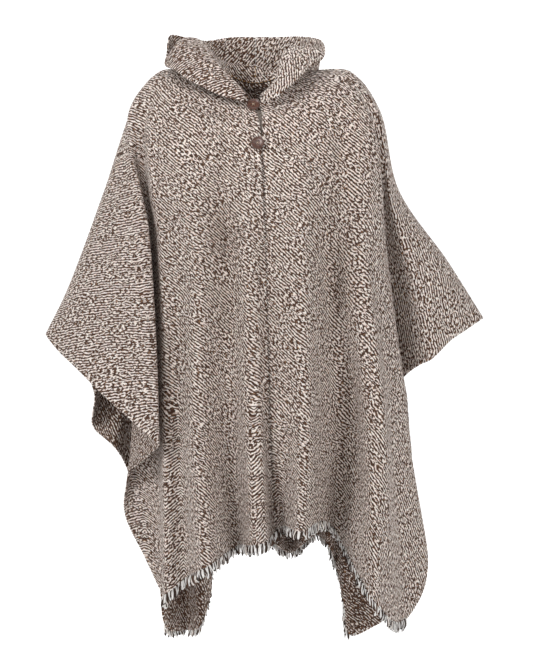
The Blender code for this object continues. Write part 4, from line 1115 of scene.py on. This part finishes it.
def button(name, node, material):
    """Turned profile: radius and height pairs swept round the axis, the holes cut by pins."""
    middle, out = node_axes(node)
    profile = np.array(((0.0, 0.0), (0.0106, 0.0), (0.0119, 0.0006), (0.0125, 0.0018),
                        (0.0124, 0.0032), (0.0118, 0.0040), (0.0110, 0.0042), (0.0102, 0.0040),
                        (0.0092, 0.0033), (0.0080, 0.0029), (0.0060, 0.0028), (0.0, 0.0028)))
    turn = np.linspace(0, 2 * math.pi, BUTTON_FACETS, endpoint=False)
    radius, height = profile[1:-1, 0, None], profile[1:-1, 1, None]
    ring_points = np.stack([radius * np.cos(turn), radius * np.sin(turn), height + 0 * turn],
                           axis=-1)
    index = np.arange(radius.size * BUTTON_FACETS).reshape(radius.size, BUTTON_FACETS)
    bottom, top = 0 * index[0] + index.size, 0 * index[0] + index.size + 1
    here, there = index[:-1], index[1:]
    quads = np.stack([here, np.roll(here, -1, 1), np.roll(there, -1, 1), there], -1).reshape(-1, 4)
    tris = np.concatenate([np.stack([np.roll(index[0], -1), index[0], bottom], -1),
                           np.stack([index[-1], np.roll(index[-1], -1), top], -1)])
    verts = np.concatenate([ring_points.reshape(-1, 3),
                            [(0, 0, profile[0, 1]), (0, 0, profile[-1, 1])]])
    mesh = bpy.data.meshes.new(name)
    mesh.from_pydata(verts.tolist(), [], quads.tolist() + tris.tolist())
    mesh.polygons.foreach_set("use_smooth", np.full(len(mesh.polygons), True))
    mesh.materials.append(material)
    piece = bpy.data.objects.new(name, mesh)
    bpy.context.scene.collection.objects.link(piece)
    cut_holes(piece)
    seat = Vector(middle - out * BUTTON_THICKNESS / 2)
    turned = Vector(out).to_track_quat("Z", "Y").to_matrix().to_4x4()
    turned.translation = seat
    piece.data.transform(turned)
    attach(piece, "root")
    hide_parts(node)
    return piece, np.array(turned)


def cut_holes(piece):
    """Four round pins at the corners of a small square, taken away from the button."""
    turn = np.linspace(0, 2 * math.pi, HOLE_FACETS, endpoint=False)
    circle = HOLE_RADIUS * np.stack([np.cos(turn), np.sin(turn)], axis=-1)
    corners = np.array(((-1, -1), (1, -1), (1, 1), (-1, 1))) * HOLE_SPACING / 2
    verts = np.zeros((4, 2, HOLE_FACETS, 3))
    verts[..., :2] = corners[:, None, None] + circle
    verts[..., 2] = np.array((-0.002, 0.006))[:, None]
    low = np.arange(HOLE_FACETS)
    high, after = low + HOLE_FACETS, np.roll(low, -1)
    walls = np.stack([low, after, after + HOLE_FACETS, high], -1)
    faces = []
    for base in 2 * HOLE_FACETS * np.arange(4):
        faces += (walls + base).tolist() + [(low[::-1] + base).tolist(), (high + base).tolist()]
    mesh = bpy.data.meshes.new("hole_pins")
    mesh.from_pydata(verts.reshape(-1, 3).tolist(), [], faces)
    pins = bpy.data.objects.new("hole_pins", mesh)
    bpy.context.scene.collection.objects.link(pins)
    cut = piece.modifiers.new("holes", "BOOLEAN")
    cut.object = pins
    cut.operation = "DIFFERENCE"
    cut.solver = "EXACT"
    bpy.context.view_layer.update()
    evaluated = piece.evaluated_get(bpy.context.evaluated_depsgraph_get())
    drilled = bpy.data.meshes.new_from_object(evaluated)
    piece.modifiers.clear()
    piece.data = drilled
    bpy.data.objects.remove(pins, do_unlink=True)


shell = button_material()
upper_button, upper_place = button("button_upper_shell", "button_upper", shell)
_, lower_place = button("button_lower_shell", "button_lower", shell)
print("button faces:", len(upper_button.data.polygons))

# %% [markdown]
# ## Sewing
#
# The hood is sewn on with a pale orange tan thread that shows as short stitches along the
# seam at the back of the neck and up the middle of the hood. Brown stitches close the seam
# below the slit and the seam down the back. A dark brown thread laid end over end under the
# ones at the nape paints the shade in the seam's groove. A stitch is a short tube that dips
# into the cloth at both ends. The buttons are held by pale thread crossed through their holes.

# %% Stitches
def thread_material(name, colour):
    """Matt thread: one colour with a fine ply of lighter and darker turns."""
    mat, nodes, links, shader = new_material(name)
    place = add_node(nodes, "ShaderNodeTexCoord")
    ply = add_node(nodes, "ShaderNodeTexNoise", Scale=1500.0, Detail=1.0)
    links.new(place.outputs["Object"], ply.inputs["Vector"])
    dark = tuple(0.65 * c for c in colour)
    tones = ramp(nodes, ((0.35, dark), (0.65, colour)))
    links.new(ply.outputs["Fac"], tones.inputs["Fac"])
    links.new(tones.outputs["Color"], shader.inputs["Base Color"])
    shader.inputs["Roughness"].default_value = 0.8
    return mat


def stitches(name, line, out, length, pitch, radius, material, slant=0.0):
    """Short tubes along a line: centre = place on the line + height * sine(half turn) out of
    the cloth, from minus to plus half a stitch, turned across the line by the slant."""
    run = arc(line)
    count = max(1, int(run[-1] / pitch))
    middle = (np.arange(count) + 0.5) * run[-1] / count
    t = np.linspace(-0.5, 0.5, 6)
    where = middle[:, None] + t[None] * length * math.cos(slant)
    place, normal = [np.stack([np.interp(where, run, v[:, k]) for k in range(3)], axis=-1)
                     for v in (line, out)]
    ahead = unit(np.gradient(place, axis=1))
    across = np.cross(ahead, normal)
    place = place + across * (t[:, None] * length * math.sin(slant))
    lift = (radius * 1.3 * np.cos(math.pi * t) - radius * 0.5)[None, :, None]
    verts, faces, _ = tubes(place + unit(normal) * lift, np.full((count, 6), radius))
    piece = make_mesh(name, verts, faces, None, material)
    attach(piece, "root")
    return piece


tan_thread = thread_material("tan_thread", (0.62, 0.33, 0.12))
brown_thread = thread_material("brown_thread", (0.055, 0.032, 0.022))
pale_thread = thread_material("pale_thread", (0.72, 0.58, 0.42))

nape_angles = np.linspace(140, 226, 60)
nape_line = ring(nape_angles, NECK_SIZES)
nape_out, nape_rise = neck_frame(nape_angles)
nape_inside = nape_line - nape_out * CLOTH / 2
stitches("stitches_nape", nape_inside + nape_rise * 0.0016, -nape_out, 0.0058, 0.0085, 0.0007,
         tan_thread)
# A dark thread laid end over end under the tan stitches: painted shade of the nape seam's groove.
stitches("thread_nape_groove_painted_shade", nape_inside - nape_rise * 0.0004, -nape_out, 0.0100, 0.0085,
         0.0010, brown_thread)
hood_seam = hood_grid[hood_middle, 2:22]
hood_seam_out = hood_normals[hood_middle, 2:22]
hood_seam_out = np.where(hood_seam_out[:, 1:2] < 0, hood_seam_out, -hood_seam_out)
hood_stitches = stitches("stitches_hood_middle", hood_seam + hood_seam_out * CLOTH / 2,
                         hood_seam_out, 0.0060, 0.0090, 0.0007, tan_thread)
hood_back = hood_grid[hood_middle, 26:]
hood_back_out = hood_normals[hood_middle, 26:]
hood_back_out = np.where(hood_back_out[:, 1:2] > 0, hood_back_out, -hood_back_out)
stitches("stitches_hood_outside", hood_back + hood_back_out * CLOTH / 2, hood_back_out, 0.0050,
         0.0080, 0.0007, brown_thread, 0.9)
front_rows = slice(STATION_STEPS[0] + 8, None, 3)
front_seam = (right_shape[0, front_rows] + left_shape[-1, front_rows]) / 2
front_out = unit(right_normals[0, front_rows] + left_normals[-1, front_rows])
stitches("stitches_front_seam", front_seam + front_out * CLOTH / 2, front_out, 0.0062, 0.0075,
         0.0008, brown_thread, 1.0)
back_rows = slice(1, None, 3)
back_seam = (right_shape[-1, back_rows] + left_shape[0, back_rows]) / 2
back_out = unit(right_normals[-1, back_rows] + left_normals[0, back_rows])
stitches("stitches_back_seam", back_seam + back_out * CLOTH / 2, back_out, 0.0062, 0.0075,
         0.0008, brown_thread, 1.0)


def button_thread(name, place):
    """Two crossed strands through the holes: a low arch between opposite holes."""
    t = np.linspace(-1, 1, 7)
    reach = HOLE_SPACING / 2
    height = 0.0029 + 0.0009 * (1 - t ** 4) - 0.0014 * (np.abs(t) == 1)
    one = np.stack([t * reach, t * reach, height], axis=-1)
    two = np.stack([t * reach, -t * reach, height], axis=-1)
    paths = np.stack([one, two]) @ place[:3, :3].T + place[:3, 3]
    verts, faces, _ = tubes(paths, np.full((2, 7), 0.00040))
    piece = make_mesh(name, verts, faces, None, pale_thread)
    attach(piece, "root")
    return piece


upper_thread = button_thread("thread_button_upper", upper_place)
lower_thread = button_thread("thread_button_lower", lower_place)
print("threads of the buttons:", upper_thread.name, lower_thread.name)

# %% [markdown]
# ## Floor, backdrop and light
#
# The garment is shown on white, so floor and backdrop are one pale sweep, well behind and
# below. Two soft boxes stand at the front, one on each side, so that they graze the long
# folds. A small narrow one lights the inside of the neck, two wash the backdrop and the floor,
# and two weaker ones behind show the back. A pale sky all round fills what is left.

# %% Stage and lights
FLOOR_Z = -1.34


def studio_sweep():
    """Floor that turns up into a backdrop: a line with a quarter circle, drawn along x."""
    turn = np.linspace(0, math.pi / 2, 24)
    y = np.concatenate([[-7.0], 5.2 + 1.4 * np.sin(turn), [6.6]])
    z = np.concatenate([[0.0], 1.4 - 1.4 * np.cos(turn), [7.0]])
    x = np.array([-8.0, 8.0])
    grid = np.stack(np.broadcast_arrays(x[:, None], y[None], FLOOR_Z + z[None]), axis=-1)
    index = np.arange(grid[..., 0].size).reshape(grid.shape[:2])
    faces = np.stack([index[:-1, :-1], index[1:, :-1], index[1:, 1:], index[:-1, 1:]], -1)
    mat, nodes, links, shader = new_material("pale_studio_paper")
    noise = add_node(nodes, "ShaderNodeTexNoise", Scale=3.0)
    tone = ramp(nodes, ((0.0, (0.90, 0.90, 0.90)), (1.0, (0.94, 0.94, 0.94))))
    links.new(noise.outputs["Fac"], tone.inputs["Fac"])
    links.new(tone.outputs["Color"], shader.inputs["Base Color"])
    shader.inputs["Roughness"].default_value = 0.9
    return make_mesh("studio_sweep", grid.reshape(-1, 3), faces.reshape(-1, 4), None, mat)


def area_light(name, place, target, size, power):
    """Square soft light at a place, turned towards a target."""
    data = bpy.data.lights.new(name, "AREA")
    data.size = size
    data.energy = power
    light = bpy.data.objects.new(name, data)
    light.location = place
    light.rotation_euler = (Vector(target) - Vector(place)).to_track_quat("-Z", "Y").to_euler()
    bpy.context.scene.collection.objects.link(light)
    return light


studio_sweep()
area_light("key_soft_box", (-2.3, -2.5, 1.2), (0, 0, -0.5), 1.1, 63.0)
area_light("fill_soft_box", (2.6, -2.6, 0.1), (0, 0, -0.5), 1.6, 39.0)
neck_light = area_light("neck_soft_box", (0.02, -1.5, 0.55), (0.02, 0.06, -0.03), 0.3, 0.14)
neck_light.data.spread = math.radians(28)
area_light("backdrop_wash", (0.0, 3.4, 3.2), (0.0, 6.6, -0.2), 3.5, 190.0)
area_light("floor_wash", (0.0, 1.6, 1.4), (0.0, 1.2, -1.34), 2.5, 40.0)
area_light("back_soft_box_left", (2.6, 2.8, 0.7), (0, 0, -0.5), 1.4, 26.0)
area_light("back_soft_box_right", (-2.6, 2.8, 0.7), (0, 0, -0.5), 1.4, 20.0)
world = bpy.data.worlds.new("pale_sky")
world.use_nodes = True
world.node_tree.nodes["Background"].inputs["Color"].default_value = (1.0, 1.0, 1.0, 1.0)
world.node_tree.nodes["Background"].inputs["Strength"].default_value = 0.34
bpy.context.scene.world = world
bpy.context.scene.view_settings.view_transform = "Standard"
print("lights placed")
